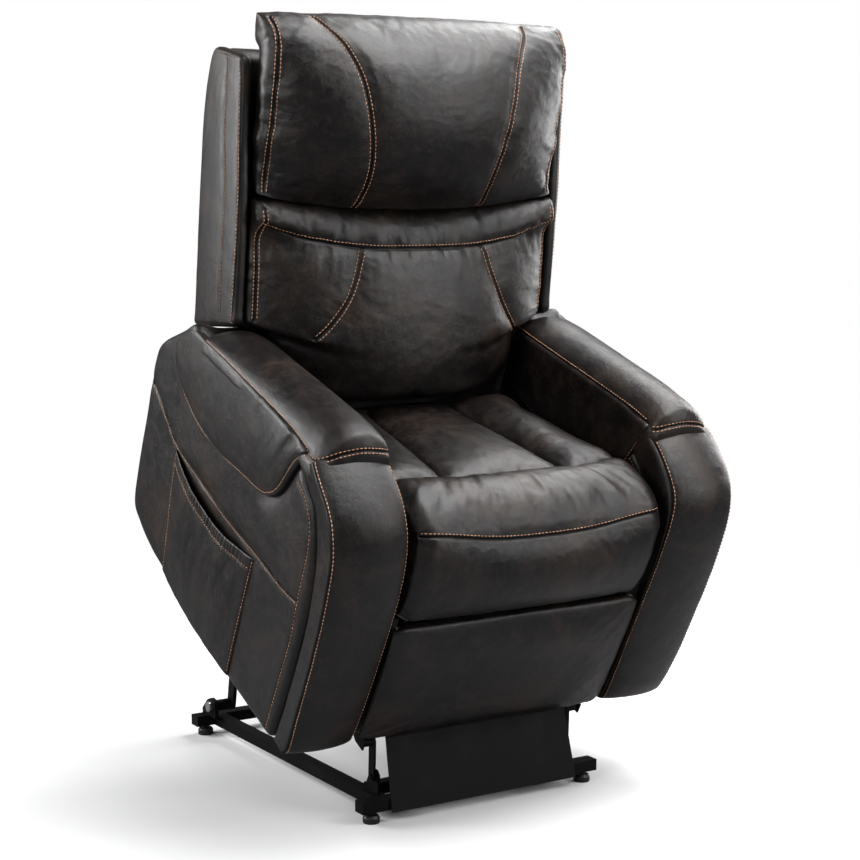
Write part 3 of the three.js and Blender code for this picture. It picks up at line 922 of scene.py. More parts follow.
# (x, share of the height from the top): the seam right across, then the two below it
BACK_CROSS_SEAM = [
    (-0.322, 0.150), (-0.250, 0.178), (-0.126, 0.190), (0.0, 0.188), (0.139, 0.195),
    (0.240, 0.190), (0.322, 0.150),
]
BACK_LOW_SEAMS = [
    [(-0.122, 0.196), (-0.132, 0.272), (-0.142, 0.346), (-0.157, 0.432), (-0.175, 0.509),
     (-0.197, 0.586), (-0.219, 0.650)],
    [(0.152, 0.200), (0.167, 0.331), (0.185, 0.441), (0.209, 0.547), (0.233, 0.640),
     (0.243, 0.690)],
]


def back_half_width(z):
    """Half width at a height: the foot of the pillow is narrower."""
    return BACK_HALF - 0.060 * (1 - smooth(0.763, 0.780, z))


def back_shape(verts, normals, gap):
    x, y, z = verts.T
    wide = np.abs(x)
    front = normals[:, 1] < 0.3
    rise = wrinkles(verts, 0.0007, (20, 20, 26), 5)
    # folds in two bands near the top, then down both sides
    rise += 0.0046 * bell(z - 0.968, 0.018) * front * folds(31, x * 30, z * 5, y * 3)
    rise += 0.0022 * bell(z - 0.915, 0.022) * front * folds(37, x * 24, z * 7, y * 3)
    side = bell(wide - 0.30, 0.04) * front * (z > 0.8)
    rise += 0.002 * side * folds(41, x * 8, y * 14, (z + wide * 0.6) * 32)
    return rise


def build_back_pillow():
    rings = pillow(BACK_CENTRE, BACK_EDGE, BACK_REAR, rows=42, power=BACK_POWER, gusset=0.012,
                   half_width=back_half_width)
    cross, *low = [on_front(BACK_CENTRE, BACK_EDGE, BACK_HALF, BACK_POWER, points)
                   for points in (BACK_CROSS_SEAM, *BACK_LOW_SEAMS)]
    seams = [Seam(cross, depth=0.003, width=0.0024, rows=(0.0046,), valley=0.006, reach=0.016,
                  pucker=0.004)]
    seams += [Seam(path, depth=0.003, width=0.0024, valley=0.004, reach=0.014, pucker=0.003)
              for path in low]
    edge = even(BACK_EDGE, 80)[3:]
    edge = edge[edge[:, 1] > 0.786]
    seams += [Seam(at_x(side * back_half_width(edge[:, 1]), edge), depth=0.0026, width=0.0022,
                   valley=0.002, pucker=0.002) for side, _ in SIDES]
    mesh = capped(rings, 4, bulges=(0.003, 0.003), ways=((0, 0, 1), (0, 0, -1)))
    soft("back_pillow", mesh, "backrest", ["back_cushion"], seams, shape=back_shape,
         puff=0.008, cap=0.016, hidden=behind(BACK_REAR), **PILLOW_FILL)


# ------------------------------------------------------------------ back cheeks and shell
# (y, z) top to bottom
CHEEK_FRONT = catmull([
    (0.690, 1.208), (0.655, 1.219), (0.636, 1.219), (0.614, 1.178), (0.574, 1.090),
    (0.526, 0.992), (0.484, 0.896), (0.446, 0.806), (0.434, 0.779), (0.456, 0.757),
])
CHEEK_REAR = catmull([
    (0.712, 1.200), (0.742, 1.190), (0.750, 1.160), (0.734, 1.070), (0.680, 0.929),
    (0.627, 0.800), (0.589, 0.712), (0.577, 0.685), (0.516, 0.721),
])
CHEEK_MIDDLE_SEAM = catmull([
    (0.686, 1.191), (0.662, 1.142), (0.625, 1.060), (0.574, 0.962), (0.493, 0.764),
    (0.482, 0.741),
])
CHEEK_FRONT_SEAM = catmull([
    (0.635, 1.212), (0.611, 1.172), (0.572, 1.091), (0.524, 0.994), (0.448, 0.796),
    (0.441, 0.779),
])
# (y, z) bottom to top
SHELL_REAR = catmull([
    (0.566, 0.640), (0.590, 0.706), (0.625, 0.796), (0.679, 0.926), (0.732, 1.069),
    (0.747, 1.156), (0.741, 1.184), (0.716, 1.196),
])
SHELL_FRONT = catmull([
    (0.452, 0.640), (0.470, 0.700), (0.516, 0.820), (0.566, 0.950), (0.612, 1.066),
    (0.646, 1.160), (0.668, 1.196), (0.690, 1.202),
])


def build_cheek(side, tag):
    x = side * CHEEK_OUTER_X
    mesh = slab(ring_of(CHEEK_FRONT, CHEEK_REAR, 46), side * CHEEK_INNER_X, x, radius=0.0085,
                middles=2, columns=14, bulge=0.004, steps=3)
    seams = [
        Seam(at_x(x, CHEEK_MIDDLE_SEAM), depth=0.0024, width=0.002, rows=(-0.0042 * side,),
             valley=0.0014, reach=0.01, pucker=0.0005),
        Seam(at_x(x, CHEEK_FRONT_SEAM), depth=0.0012, width=0.0018, rows=(0.0038 * side,),
             valley=0.0008, reach=0.008, pucker=0.0005),
    ]
    soft("back_cheek_" + tag, mesh, "backrest", seams=seams, shape=creased(0.0004, 16, 9))


def build_shell():
    """The panel between the cheeks, with a crowned rear face."""
    across = np.linspace(-1, 1, 49)
    crown = 0.006 * (1 - np.abs(across[::-1]) ** 4)
    rings = []
    for share in np.linspace(0, 1, 60):
        rear, front = at(SHELL_REAR, share), at(SHELL_FRONT, share)
        width = 0.278 + 0.064 * smooth(0.715, 0.745, rear[1])
        rings.append(np.vstack([
            points_at(across * width, *front),
            points_at(across[::-1] * width, rear[0] - 0.004 + crown, rear[1] - 0.3 * crown),
        ]))
    seams = []
    for side, _ in SIDES:
        path = at_x(side * 0.232, even(SHELL_REAR, 60) + np.array([0.003, 0]))[4:58]
        seams.append(Seam(path, depth=0.0024, width=0.002, valley=0.002, pucker=0.001))
    path = points_at(np.linspace(-0.34, 0.34, 60), *at(SHELL_REAR, 0.30))
    seams.append(
        Seam(path, depth=0.0024, width=0.002, rows=(0.0046,), valley=0.002, pucker=0.0015))
    mesh = capped(rings, 3, bulges=(0.0, 0.002), ways=((0, 0, -1), (0, 0, 1)))
    soft("back_shell_cover", mesh, "backrest", ["back_shell"], seams, puff=0.004,
         shape=creased(0.0006, (14, 14, 16), 12))


# ------------------------------------------------------------------ seat
# (y, z) from the rear over the top and down the front: middle, then sides, knot for knot
SEAT_MIDDLE = [
    (0.372, 0.560), (0.370, 0.612), (0.338, 0.638), (0.272, 0.651), (0.200, 0.672),
    (0.100, 0.699), (0.010, 0.724), (-0.022, 0.752), (-0.062, 0.767), (-0.110, 0.765),
    (-0.150, 0.746), (-0.172, 0.720), (-0.196, 0.690), (-0.205, 0.650), (-0.2045, 0.610),
    (-0.199, 0.580), (-0.188, 0.559), (-0.168, 0.553),
]
SEAT_SIDE = [
    (0.372, 0.560), (0.370, 0.618), (0.338, 0.648), (0.272, 0.667), (0.200, 0.690),
    (0.100, 0.720), (0.000, 0.757), (-0.028, 0.766), (-0.062, 0.770), (-0.105, 0.768),
    (-0.142, 0.757), (-0.164, 0.742), (-0.184, 0.706), (-0.193, 0.655), (-0.194, 0.610),
    (-0.190, 0.582), (-0.182, 0.562), (-0.166, 0.555),
]
SEAT_BOTTOM = [
    (0.372, 0.560), (0.358, 0.530), (0.20, 0.527), (0.05, 0.527), (-0.10, 0.528),
    (-0.133, 0.540), (-0.150, 0.548), (-0.166, 0.550),
]
SEAT_CROSS_X = (-0.255, -0.224, -0.18, -0.123, -0.06, 0.0, 0.06, 0.123, 0.18, 0.224, 0.255)
SEAT_CROSS_KNOT = 6.2
SEAT_CHANNEL = [(0.094, 2.0), (0.101, 3.0), (0.109, 4.0), (0.118, 5.0), (0.127, 6.2)]  # x, knot
SEAT_CHANNEL_SHIFT = 0.012
SEAT_LIP_X = (-0.2605, -0.2, -0.1, 0.0, 0.1, 0.2, 0.2605)
SEAT_LIP_KNOT = 11
SEAT_LIP_END = (0.2625, -0.158, 0.738)


def seat_crown(across):
    """Share of the side outline at a share of the half width."""
    return min(1.0, abs(across) / 0.87) ** 2.4


def seat_point(x, knot):
    """A point of the seat's top at x and a knot of its outline."""
    line = blend(catmull(SEAT_MIDDLE), catmull(SEAT_SIDE), seat_crown(x / SEAT_HALF))
    position = knot * CURVE_STEPS
    i = int(position)
    return (x, *blend(line[i], line[i + 1], position - i))


def seat_shape(verts, normals, gap):
    x, y, z = verts.T
    up = smooth(-0.35, 0.2, normals[:, 2] - normals[:, 1] * 0.8)
    rise = wrinkles(verts, 0.0007, 22, 15) * up
    # folds that fan over the front roll, then folds in the front face and at its sides
    roll = bell(y + 0.085, 0.05) * (z > 0.70)
    fan = np.arctan2(x, 0.30 + (-0.05 - y)) * 14
    rise += 0.0045 * roll * (folds(51, fan, y * 5, z * 4) - 0.05)
    face = bell(y + 0.195, 0.03) * (z < 0.72)
    rise += 0.0006 * face * folds(55, x * 10, y * 6, z * 16)
    edge = bell(np.abs(x) - SEAT_HALF, 0.03) * (y < -0.15)
    rise += 0.0022 * edge * folds(57, x * 6, y * 8, z * 36)
    return rise


def build_seat():
    """Channels, front roll and the panel under it in one cover."""
    middle, edge = by_knot(SEAT_MIDDLE, 85), by_knot(SEAT_SIDE, 85)
    bottom = even(catmull(SEAT_BOTTOM), 85)
    rings = []
    for u in np.r_[-1, -0.985, -0.955, -0.91, np.linspace(-0.86, 0.86, 43),
                   0.91, 0.955, 0.985, 1]:
        top = blend(middle, edge, seat_crown(u))
        ring = np.vstack([top[:-1], (top[-1:] + bottom[-1:]) / 2, bottom[::-1][1:-1]])
        inset = smooth(0.90, 1.0, abs(u)) * 0.016
        rings.append(at_x(u * SEAT_HALF, inset_ring(ring, inset)))
    cross = catmull([seat_point(x, SEAT_CROSS_KNOT) for x in SEAT_CROSS_X])
    end_x, *end_yz = SEAT_LIP_END
    lip = catmull([(-end_x, *end_yz), *(seat_point(x, SEAT_LIP_KNOT) for x in SEAT_LIP_X),
                   SEAT_LIP_END])
    seams = [Seam(cross, depth=0.004, width=0.003, rows=(), valley=0.012, reach=0.017,
                  pucker=0.004)]
    for side, _ in SIDES:
        path = catmull([seat_point(side * x + SEAT_CHANNEL_SHIFT, k) for x, k in SEAT_CHANNEL])
        seams.append(Seam(path, depth=0.004, width=0.003, rows=(), valley=0.010, reach=0.017,
                          pucker=0.0012))
    seams.append(Seam(lip, depth=0.0034, width=0.0026, rows=(0.0050,), valley=0.0022,
                      reach=0.014, pucker=0.0008))
    mesh = capped(rings, 8, bulges=(0.002, 0.002), ways=((-1, 0, 0), (1, 0, 0)))
    soft("seat_cover", mesh, "seat_body", ["seat_cushion", "seat_front_panel"], seams,
         shape=seat_shape, puff=0.010, spread=0.04, pressure=4.6, cap=0.018, shrink=-0.006,
         hidden=lambda verts: (verts[:, 2] < 0.556) & (verts[:, 1] > -0.17), refine=True)


# ------------------------------------------------------------------ footrest
# (y, z) top to bottom
FOOT_FRONT = catmull([
    (-0.1685, 0.5480), (-0.1790, 0.5500), (-0.1885, 0.5478), (-0.1955, 0.5355),
    (-0.2003, 0.512), (-0.2035, 0.475), (-0.205, 0.43), (-0.205, 0.37), (-0.2035, 0.325),
    (-0.2005, 0.299), (-0.1945, 0.2905), (-0.180, 0.2885),
])
FOOT_BACK = np.array([(-0.1685, 0.5480), (-0.1693, 0.50), (-0.1693, 0.35), (-0.180, 0.2885)])


def foot_shape(verts, normals, gap):
    x, y, z = verts.T
    edge = bell(np.abs(x) - 0.262, 0.035) + bell(z - 0.55, 0.02) + bell(z - 0.30, 0.02)
    edge_folds = folds(59, x * 14, y * 8, z * 20) * (normals[:, 1] < 0)
    return wrinkles(verts, 0.0006, 16, 19) + 0.0012 * np.minimum(edge, 1) * edge_folds


def build_footrest():
    outline = ring_of(FOOT_FRONT, FOOT_BACK, 40)
    rings = []
    for u in np.r_[-1, -0.99, -0.97, -0.93, np.linspace(-0.88, 0.88, 41),
                   0.93, 0.97, 0.99, 1]:
        ring = inset_ring(outline, 0.0085 * smooth(0.94, 1.0, abs(u)))
        y = ring[:, 0]
        ring[:, 0] = y + 0.007 * abs(u) ** 4 * (y < -0.18) * smooth(-0.178, -0.2, y)
        rings.append(at_x(u * FOOT_HALF, ring))
    mesh = capped(rings, 3, bulges=(0.001, 0.001), ways=((-1, 0, 0), (1, 0, 0)))
    soft("footrest_cover", mesh, "ottoman", ["footrest_pad"], shape=foot_shape, puff=0.004,
         spread=0.02, pressure=2.5, cap=0.007, shrink=-0.003,
         hidden=lambda verts: verts[:, 1] > -0.184, refine=True)


# ------------------------------------------------------------------ arm box
# (y, z) from the front up and over to the rear, then from the front under to the rear
BOX_TOP = catmull([
    (-0.112, 0.600), (-0.1045, 0.630), (-0.0840, 0.678), (-0.0695, 0.704), (-0.048, 0.7325),
    (-0.025, 0.7445), (-0.002, 0.756), (0.030, 0.775), (0.070, 0.784), (0.1267, 0.7865),
    (0.2034, 0.776), (0.3453, 0.752), (0.4199, 0.742), (0.4690, 0.739), (0.4987, 0.7292),
    (0.5500, 0.681), (0.5920, 0.631), (0.5965, 0.580),
])
BOX_BOTTOM = catmull([
    (-0.112, 0.600), (-0.1265, 0.500), (-0.1305, 0.400), (-0.1315, 0.300), (-0.127, 0.2705),
    (-0.10, 0.2640), (0.12, 0.2450), (0.364, 0.2446), (0.4514, 0.2467), (0.5155, 0.2614),
    (0.5534, 0.2887), (0.5775, 0.438), (0.5965, 0.580),
])
BOX_SLANT_SEAM = catmull([
    (0.600, 0.559), (0.509, 0.535), (0.430, 0.510), (0.322, 0.513), (0.206, 0.517),
    (0.100, 0.531), (0.050, 0.537), (-0.024, 0.544), (-0.084, 0.556),
])
BOX_FRONT_SEAM = catmull([
    (0.013, 0.7421), (-0.0257, 0.731), (-0.0594, 0.6971), (-0.0773, 0.6417),
    (-0.088, 0.5569), (-0.1004, 0.4889), (-0.1040, 0.3867), (-0.1075, 0.272),
])
# (y, z) of the outer flap's lower edge and of its top, both from the rear to the front
FLAP_LINE = catmull([
    (0.527, 0.674), (0.497, 0.637), (0.446, 0.616), (0.370, 0.601), (0.278, 0.607),
    (0.196, 0.627), (0.111, 0.649), (0.078, 0.668), (0.057, 0.698), (0.040, 0.750),
    (0.025, 0.782), (0.003, 0.800),
], 8)
FLAP_TOP = [
    (0.5200, 0.700), (0.4900, 0.733), (0.4693, 0.7475), (0.4199, 0.7545), (0.3453, 0.768),
    (0.2728, 0.7795), (0.2034, 0.7911), (0.1267, 0.8037), (0.0668, 0.811), (0.020, 0.8135),
    (0.002, 0.8125),
]


def build_arm_box(side, tag):
    """Inner and outer face, with a slanting seam outside and a stitched row at the front."""
    inner_x, outer_x = side * ARM_INNER_X, side * ARM_OUTER_X
    verts, faces = slab(ring_of(BOX_TOP, BOX_BOTTOM, 66), inner_x, outer_x, radius=0.0135,
                        middles=5, columns=40, bulge=0.0015, steps=4)
    # raised rear corner, outboard of the back
    x, y, z = verts.T
    verts[:, 2] += 0.019 * smooth(0.366, 0.380, np.abs(x)) * bell(y - 0.474, 0.022) * (z > 0.70)
    seams = [Seam(at_x(outer_x, BOX_SLANT_SEAM), depth=0.0024, width=0.0020,
                  rows=(0.0042 * side,), valley=0.0016, reach=0.010, pucker=0.0005)]
    seams += [Seam(at_x(x, BOX_FRONT_SEAM), depth=0.0010, width=0.0018, rows=(0.0,),
                   valley=0.0008, reach=0.008, pucker=0.0006) for x in (outer_x, inner_x)]

    def shape(verts, normals, gap):
        x, y, z = verts.T
        outside = smooth(0.398, 0.413, side * x)
        rise = wrinkles(verts, 0.0005, 13, 61 if side > 0 else 67) * outside
        swell = folds(71, x * 2, (y + z) * 7, (z - y) * 4)
        rise += outside * 0.0018 * swell * smooth(0.0, 0.03, gap)
        # hollow under the front corner of the flap
        hollow = bell(line_distance(FLAP_LINE, verts[:, 1:3]), 0.022)
        rise -= outside * 0.0085 * hollow * (1 - smooth(0.06, 0.14, y)) * (z > 0.62)
        return rise

    soft("arm_box_" + tag, (verts, faces), "seat_body", ["arm_frame_" + tag], seams, shape=shape)


# ------------------------------------------------------------------ arm flap and drape
def off_holster(y):
    """0 beside the holster, rising to 1 away from it."""
    return smooth(0.045, 0.10, np.abs(y - HOLSTER_Y))


def build_arm_flap(side, tag):
    """The flap that hangs from the pad over the outer face, thickest at its front corner."""
    edge = offset_line(FLAP_LINE, 0.0075)
    ring = ring_of(catmull(FLAP_TOP)[::-1], edge[::-1], 60)
    verts, faces = slab(ring, side * 0.398, side * 0.4225, radius=0.0098, middles=3,
                        columns=18, bulge=0.0050, steps=5)
    wide, y = np.abs(verts[:, 0]), verts[:, 1]
    base = 0.4135
    thickness = 0.55 + 0.45 * (1 - smooth(0.06, 0.32, y))
    wide = np.where(wide > base, base + (wide - base) * thickness, wide)
    if side > 0:  # flat where the holster sits
        wide = np.minimum(wide, 0.4172 + 0.011 * off_holster(y))
    verts[:, 0] = side * wide
    seam_x = np.interp(FLAP_LINE[:, 0], [0.0, 0.06, 0.32], [0.4225, 0.4225, 0.4185])
    seams = [Seam(at_x(side * seam_x, FLAP_LINE), depth=0.0016, width=0.0018, rows=(0.0,),
                  valley=0.0012, reach=0.006, pucker=0.0004)]

    def shape(verts, normals, gap):
        x, y, z = verts.T
        outside = smooth(0.408, 0.416, side * x)
        if side > 0:
            outside = outside * off_holster(y)
        # drop is taken from the height of the top's front end; ahead of it, of its rear end
        (_, rear_z), (front_y, front_z) = FLAP_TOP[0], FLAP_TOP[-1]
        drop = np.clip(np.where(y > front_y, front_z, rear_z) - z, 0, 1)
        fan = folds(97, (y - 0.35 * drop) * 46, drop * 7, 2.0)
        fan = 0.0030 * fan * np.exp(-drop / 0.045) * smooth(0.0, 0.008, drop)
        return outside * (fan + wrinkles(verts, 0.0005, 16, 98))

    soft("arm_flap_" + tag, (verts, faces), "seat_body", seams=seams, shape=shape)


# (y, z) of the inner drape's top and lower edge, both from the rear to the front
DRAPE_TOP = catmull([
    (0.4041, 0.7495), (0.3138, 0.7675), (0.2276, 0.7855), (0.1109, 0.8095), (0.060, 0.8185),
    (0.015, 0.8235), (-0.012, 0.828), (-0.026, 0.8285),
])
DRAPE_EDGE = catmull([
    (0.4041, 0.640), (0.3138, 0.630), (0.2276, 0.638), (0.130, 0.650), (0.070, 0.662),
    (0.028, 0.684), (0.006, 0.712), (-0.0045, 0.742), (-0.0120, 0.773), (-0.0210, 0.803),
    (-0.0300, 0.822),
])


def build_arm_drape(side, tag):
    """The same kind of flap on the inner side of the arm."""
    verts, faces = slab(ring_of(DRAPE_TOP[::-1], DRAPE_EDGE[::-1], 50), side * 0.302,
                        side * DRAPE_X, radius=0.0080, middles=3, columns=16, bulge=0.0022,
                        steps=4)
    near_front = 1 - smooth(0.0, 0.06, verts[:, 1])
    verts[:, 0] -= side * 0.0026 * near_front * (np.abs(verts[:, 0]) < 0.290)
    path = at_x(side * DRAPE_X, offset_line(DRAPE_EDGE, 0.007)[31:])
    seams = [Seam(path, depth=0.0016, width=0.0018, rows=(0.0,), valley=0.0012, reach=0.006,
                  pucker=0.0004)]
    soft("arm_drape_" + tag, (verts, faces), "seat_body", seams=seams,
         shape=creased(0.0005, 16, 99))


# ------------------------------------------------------------------ arm pad
# (y, z) from the rear to the front: top line, outer edge, inner edge
PAD_CROWN = [
    (0.446, 0.752), (0.4336, 0.766), (0.3779, 0.7855), (0.257, 0.8133), (0.1267, 0.8427),
    (0.0636, 0.8560), (0.0, 0.865), (-0.030, 0.8645), (-0.045, 0.858), (-0.052, 0.848),
]
PAD_OUTER = [
    (0.4693, 0.7465), (0.4199, 0.7524), (0.3453, 0.766), (0.2728, 0.7775), (0.2034, 0.7891),
    (0.1267, 0.8017), (0.0668, 0.809), (0.0016, 0.8105), (-0.030, 0.811), (-0.052, 0.811),
]
PAD_INNER = [
    (0.446, 0.742), (0.4041, 0.749), (0.3138, 0.7669), (0.2276, 0.7848), (0.1109, 0.8089),
    (0.03, 0.8237), (-0.0183, 0.829), (-0.052, 0.829),
]
# (x, y, z) of the seam round the front end, from the outer side to the inner
PAD_END_SEAM = np.array([
    (0.4205, 0.010, 0.8065), (0.4205, -0.008, 0.8075), (0.4185, -0.024, 0.812),
    (0.409, -0.036, 0.8215), (0.385, -0.0430, 0.836), (0.350, -0.0450, 0.8435),
    (0.320, -0.0445, 0.8405), (0.295, -0.041, 0.832), (0.284, -0.032, 0.8265),
])


def pad_ring(y):
    """The pad's section at y: outer side, crowned top, inner side, underside."""
    crown_z, outer_z, inner_z = (
        lookup(table, 0, y) for table in (PAD_CROWN, PAD_OUTER, PAD_INNER))
    outer_x, inner_x = 0.4185 + 0.0035 * smooth(0.05, -0.02, y), 0.2815
    drop = 0.022 + 0.012 * smooth(0.04, -0.01, y)
    across = np.linspace(0, 1, 25)
    rise = (crown_z - (outer_z + inner_z) / 2) * np.sin(math.pi * across) ** 0.72
    top = points_at(outer_x + (inner_x - outer_x) * across, y,
                    outer_z + (inner_z - outer_z) * across + rise)
    down = np.array([1.0, 0.66, 0.33])
    half = np.vstack([
        points_at(outer_x + 0.001, y, outer_z - drop * down), top,
        points_at(inner_x - 0.001, y, inner_z - drop * down[::-1]),
    ])
    count = len(half) - 2
    under_z = np.linspace(inner_z - drop - 0.002, outer_z - drop - 0.002, count)
    under = points_at(np.linspace(inner_x + 0.004, outer_x - 0.004, count), y, under_z)
    ring = np.vstack([half, under])
    # both ends are drawn in
    shrink = 0.007 * smooth(-0.030, -0.050, y) + 0.010 * smooth(0.425, 0.446, y)
    middle = ring.mean(0)
    ring[:, 2] = middle[2] + (ring[:, 2] - middle[2]) * (1 - shrink / 0.05) - shrink * 0.3
    ring[:, 0] = middle[0] + (ring[:, 0] - middle[0]) * (1 - shrink / 0.07)
    return ring


def build_arm_pad(side, tag):
    stations = np.r_[np.linspace(0.446, 0.030, 40), np.linspace(0.020, -0.040, 8),
                     -0.0455, -0.0500]
    mirror = np.array([side, 1, 1])
    rings = [pad_ring(y) * mirror for y in stations]
    seams = [
        Seam(at_x(side * 0.4175, catmull(PAD_OUTER[:8])), depth=0.0024, width=0.0021,
             rows=(-0.0044 * side,), valley=0.002, reach=0.010, pucker=0.0006),
        Seam(at_x(side * 0.2855, catmull(PAD_INNER[:7])), depth=0.0022, width=0.0020,
             rows=(0.0044 * side,), valley=0.0014, reach=0.010, pucker=0.0006),
        Seam(catmull(PAD_END_SEAM * mirror), depth=0.0024, width=0.0021, rows=(-0.004, 0.004),
             valley=0.002, reach=0.009, pucker=0.0008),
    ]
    mesh = capped(rings, 5, bulges=(0.004, 0.004), ways=((0, 1, 0), (0, -1, 0)))
    soft("arm_pad_" + tag + "_cover", mesh, "seat_body", ["arm_pad_" + tag], seams,
         shape=creased(0.0006, (18, 10, 18), 73), puff=0.003, refine=True)


# ------------------------------------------------------------------ arm front cushion
# (y, z, x) top to bottom: outer seam, inner seam, and the line where it meets the arm
PANEL_OUTER = by_knot([
    (-0.028, 0.817, 0.427), (-0.039, 0.813, 0.430), (-0.070, 0.800, 0.432),
    (-0.115, 0.778, 0.432), (-0.1445, 0.750, 0.432), (-0.1675, 0.700, 0.430),
    (-0.183, 0.600, 0.4275), (-0.189, 0.500, 0.425), (-0.192, 0.380, 0.423),
    (-0.1885, 0.305, 0.4175), (-0.180, 0.2825, 0.4165),
], 60)
PANEL_INNER = by_knot([
    (-0.028, 0.818, 0.283), (-0.037, 0.815, 0.283), (-0.075, 0.803, 0.283),
    (-0.123, 0.779, 0.283), (-0.153, 0.750, 0.283), (-0.170, 0.700, 0.2785),
    (-0.181, 0.610, 0.275), (-0.184, 0.500, 0.275), (-0.186, 0.400, 0.276),
    (-0.185, 0.305, 0.2785), (-0.178, 0.2825, 0.2785),
], 60)
PANEL_ROOT = by_knot([
    (0.012, 0.766, 0.416), (-0.0052, 0.7557, 0.416), (-0.0285, 0.7442, 0.416),
    (-0.0516, 0.7322, 0.416), (-0.0730, 0.7038, 0.416), (-0.0976, 0.6576, 0.416),
    (-0.119, 0.580, 0.416), (-0.1302, 0.500, 0.416), (-0.1340, 0.385, 0.416),
    (-0.1345, 0.300, 0.416), (-0.131, 0.276, 0.416),
], 60)
# of the side strips: share of the way from root to seam, outer x, inner x
PANEL_STRIPS = [
    (0.02, 0.398, 0.2980), (0.025, 0.4075, 0.2885), (0.085, 0.4130, 0.2835),
    (0.20, 0.4160, 0.2815), (0.36, 0.4185, 0.2810), (0.54, 0.4215, 0.2805),
    (0.72, 0.4250, 0.2800), (0.88, 0.4285, 0.2790),
]
STRIP_BASE_X, STRIP_FLARE = 0.4130, 0.0175  # the outer strip's flare follows the outer seam


def panel_ring(k):
    """Outer strip, crowned face, inner strip and back at row k."""
    outer, inner, root = PANEL_OUTER[k], PANEL_INNER[k], PANEL_ROOT[k, :2]
    across = np.linspace(0, 1, 27)
    forward = unit((outer[:2] + inner[:2]) / 2 - root)
    rise = 0.0175 * np.sin(math.pi * across) ** 0.72 * (1 - 0.6 * smooth(50, 59, k))
    line = blend(outer[:2], inner[:2], across[:, None]) + forward * rise[:, None]
    face = at_x(outer[2] + (inner[2] - outer[2]) * across, line)
    outer_strip, inner_strip = [], []
    for share, outer_x, inner_x in PANEL_STRIPS:
        if share > 0.1:
            flare = (outer[2] - STRIP_BASE_X) / STRIP_FLARE
            outer_x = STRIP_BASE_X + (outer_x - STRIP_BASE_X) * flare
        outer_strip.append((outer_x, *blend(root, outer[:2], share)))
        inner_strip.append((inner_x, *blend(root, inner[:2], share)))
    half = np.vstack([outer_strip, face, inner_strip[::-1]])
    share = np.linspace(0, 1, len(half))[1:-1, None]
    return np.vstack([half, blend(half[-1:], half[:1], share)])


def build_arm_front(side, tag):
    """Boxed cushion: a crowned face between two seams, with a strip down each side."""
    rings = [panel_ring(k) * np.array([side, 1, 1]) for k in range(60)]
    seams = [Seam(at_x(side * line[:, 2], line)[1:59], depth=0.0030, width=0.0023,
                  rows=(offset * side,), valley=0.0022, reach=0.009, pucker=0.0005)
             for line, offset in ((PANEL_OUTER, -0.0048), (PANEL_INNER, 0.0048))]
    mesh = capped(rings, 5, bulges=(0.003, 0.004), ways=((0, 0.3, 0.9), (0, 0, -1)))
    soft("arm_front_" + tag, mesh, "seat_body", ["arm_front_panel_" + tag], seams,
         shape=creased(0.0005, 14, 79), refine=True)


# ------------------------------------------------------------------ side pocket
# (y, z) from the rear to the front
POCKET_TOP = catmull([
    (0.428, 0.503), (0.403, 0.504), (0.30, 0.508), (0.18, 0.515), (0.084, 0.522),
    (0.069, 0.524),
])
POCKET_BOTTOM = catmull([
    (0.370, 0.253), (0.300, 0.252), (0.20, 0.253), (0.12, 0.256), (0.053, 0.258),
])
POCKET_BASE_X, POCKET_MAX_X = 0.4172, 0.4425
POCKET_THICKNESS = 0.0022


def pocket_point(top, bottom, u, t):
    """The outer skin at share u from rear to front and share t from top to bottom."""
    y, z = blend(top, bottom, t)
    body = math.sin(math.pi * u) ** 0.55
    bellow = 0.0135 * body * (0.35 + 0.65 * math.sin(math.pi * (0.12 + t * 0.8)) ** 0.8)
    bellow += 0.006 * (1 - t) ** 1.5 * body
    depth = 0.35 + 0.65 * math.sin(math.pi * min(1, t * 1.05))
    fold = folds(91, u * 9.5 + 0.8 * t, t * 1.2, 3.3) * 0.0062 * body * depth
    gather = 0.0026 * math.sin(u * 2 * math.pi * 34 + 1.3 * math.sin(u * 40))
    gather *= bell(t - 0.045, 0.05) * body
    sag = -0.020 * math.sin(math.pi * u) * (1 - t) ** 2
    x = POCKET_BASE_X + max(0.0, bellow + fold + gather)
    return -min(x, POCKET_MAX_X), y, z + sag


def build_pocket():
    """A pocket with a gathered mouth on the right arm."""
    columns, rows = 90, 44
    top, bottom = even(POCKET_TOP, columns), even(POCKET_BOTTOM, columns)
    outer = np.array([[pocket_point(top[i], bottom[i], i / (columns - 1), j / (rows - 1))
                       for j in range(rows)] for i in range(columns)])
    inner = outer + np.array([POCKET_THICKNESS, 0, 0])
    seams = [
        Seam(outer[2:-2, 4], depth=0.0012, width=0.0018, rows=(0.0,)),  # hem
        Seam(outer[-2, 1:-1], depth=0.0006, width=0.002, rows=(0.0,)),  # front
        Seam(outer[1, 1:-1], depth=0.0006, width=0.002, rows=(0.0,)),  # rear
    ]
    soft("side_pocket_cover", two_layers(outer, inner), "seat_body", ["side_pocket_r"], seams,
         shape=creased(0.0005, (30, 26, 12), 83))


# ------------------------------------------------------------------ holster
HOLSTER_BOTTOM, HOLSTER_TOP = 0.520, 0.606


def holster_ring(x, half_x, half_y, z):
    """A rounded rectangle round (x, HOLSTER_Y)."""
    ring = []
    for k in range(40):
        angle = 2 * math.pi * k / 40
        cos, sin = math.cos(angle), math.sin(angle)
        across = abs(cos) ** 0.4 * (1 if cos > 0 else -1)
        along = abs(sin) ** 0.4 * (1 if sin > 0 else -1)
        ring.append((x + across * half_x, HOLSTER_Y + along * half_y, z))
    return ring


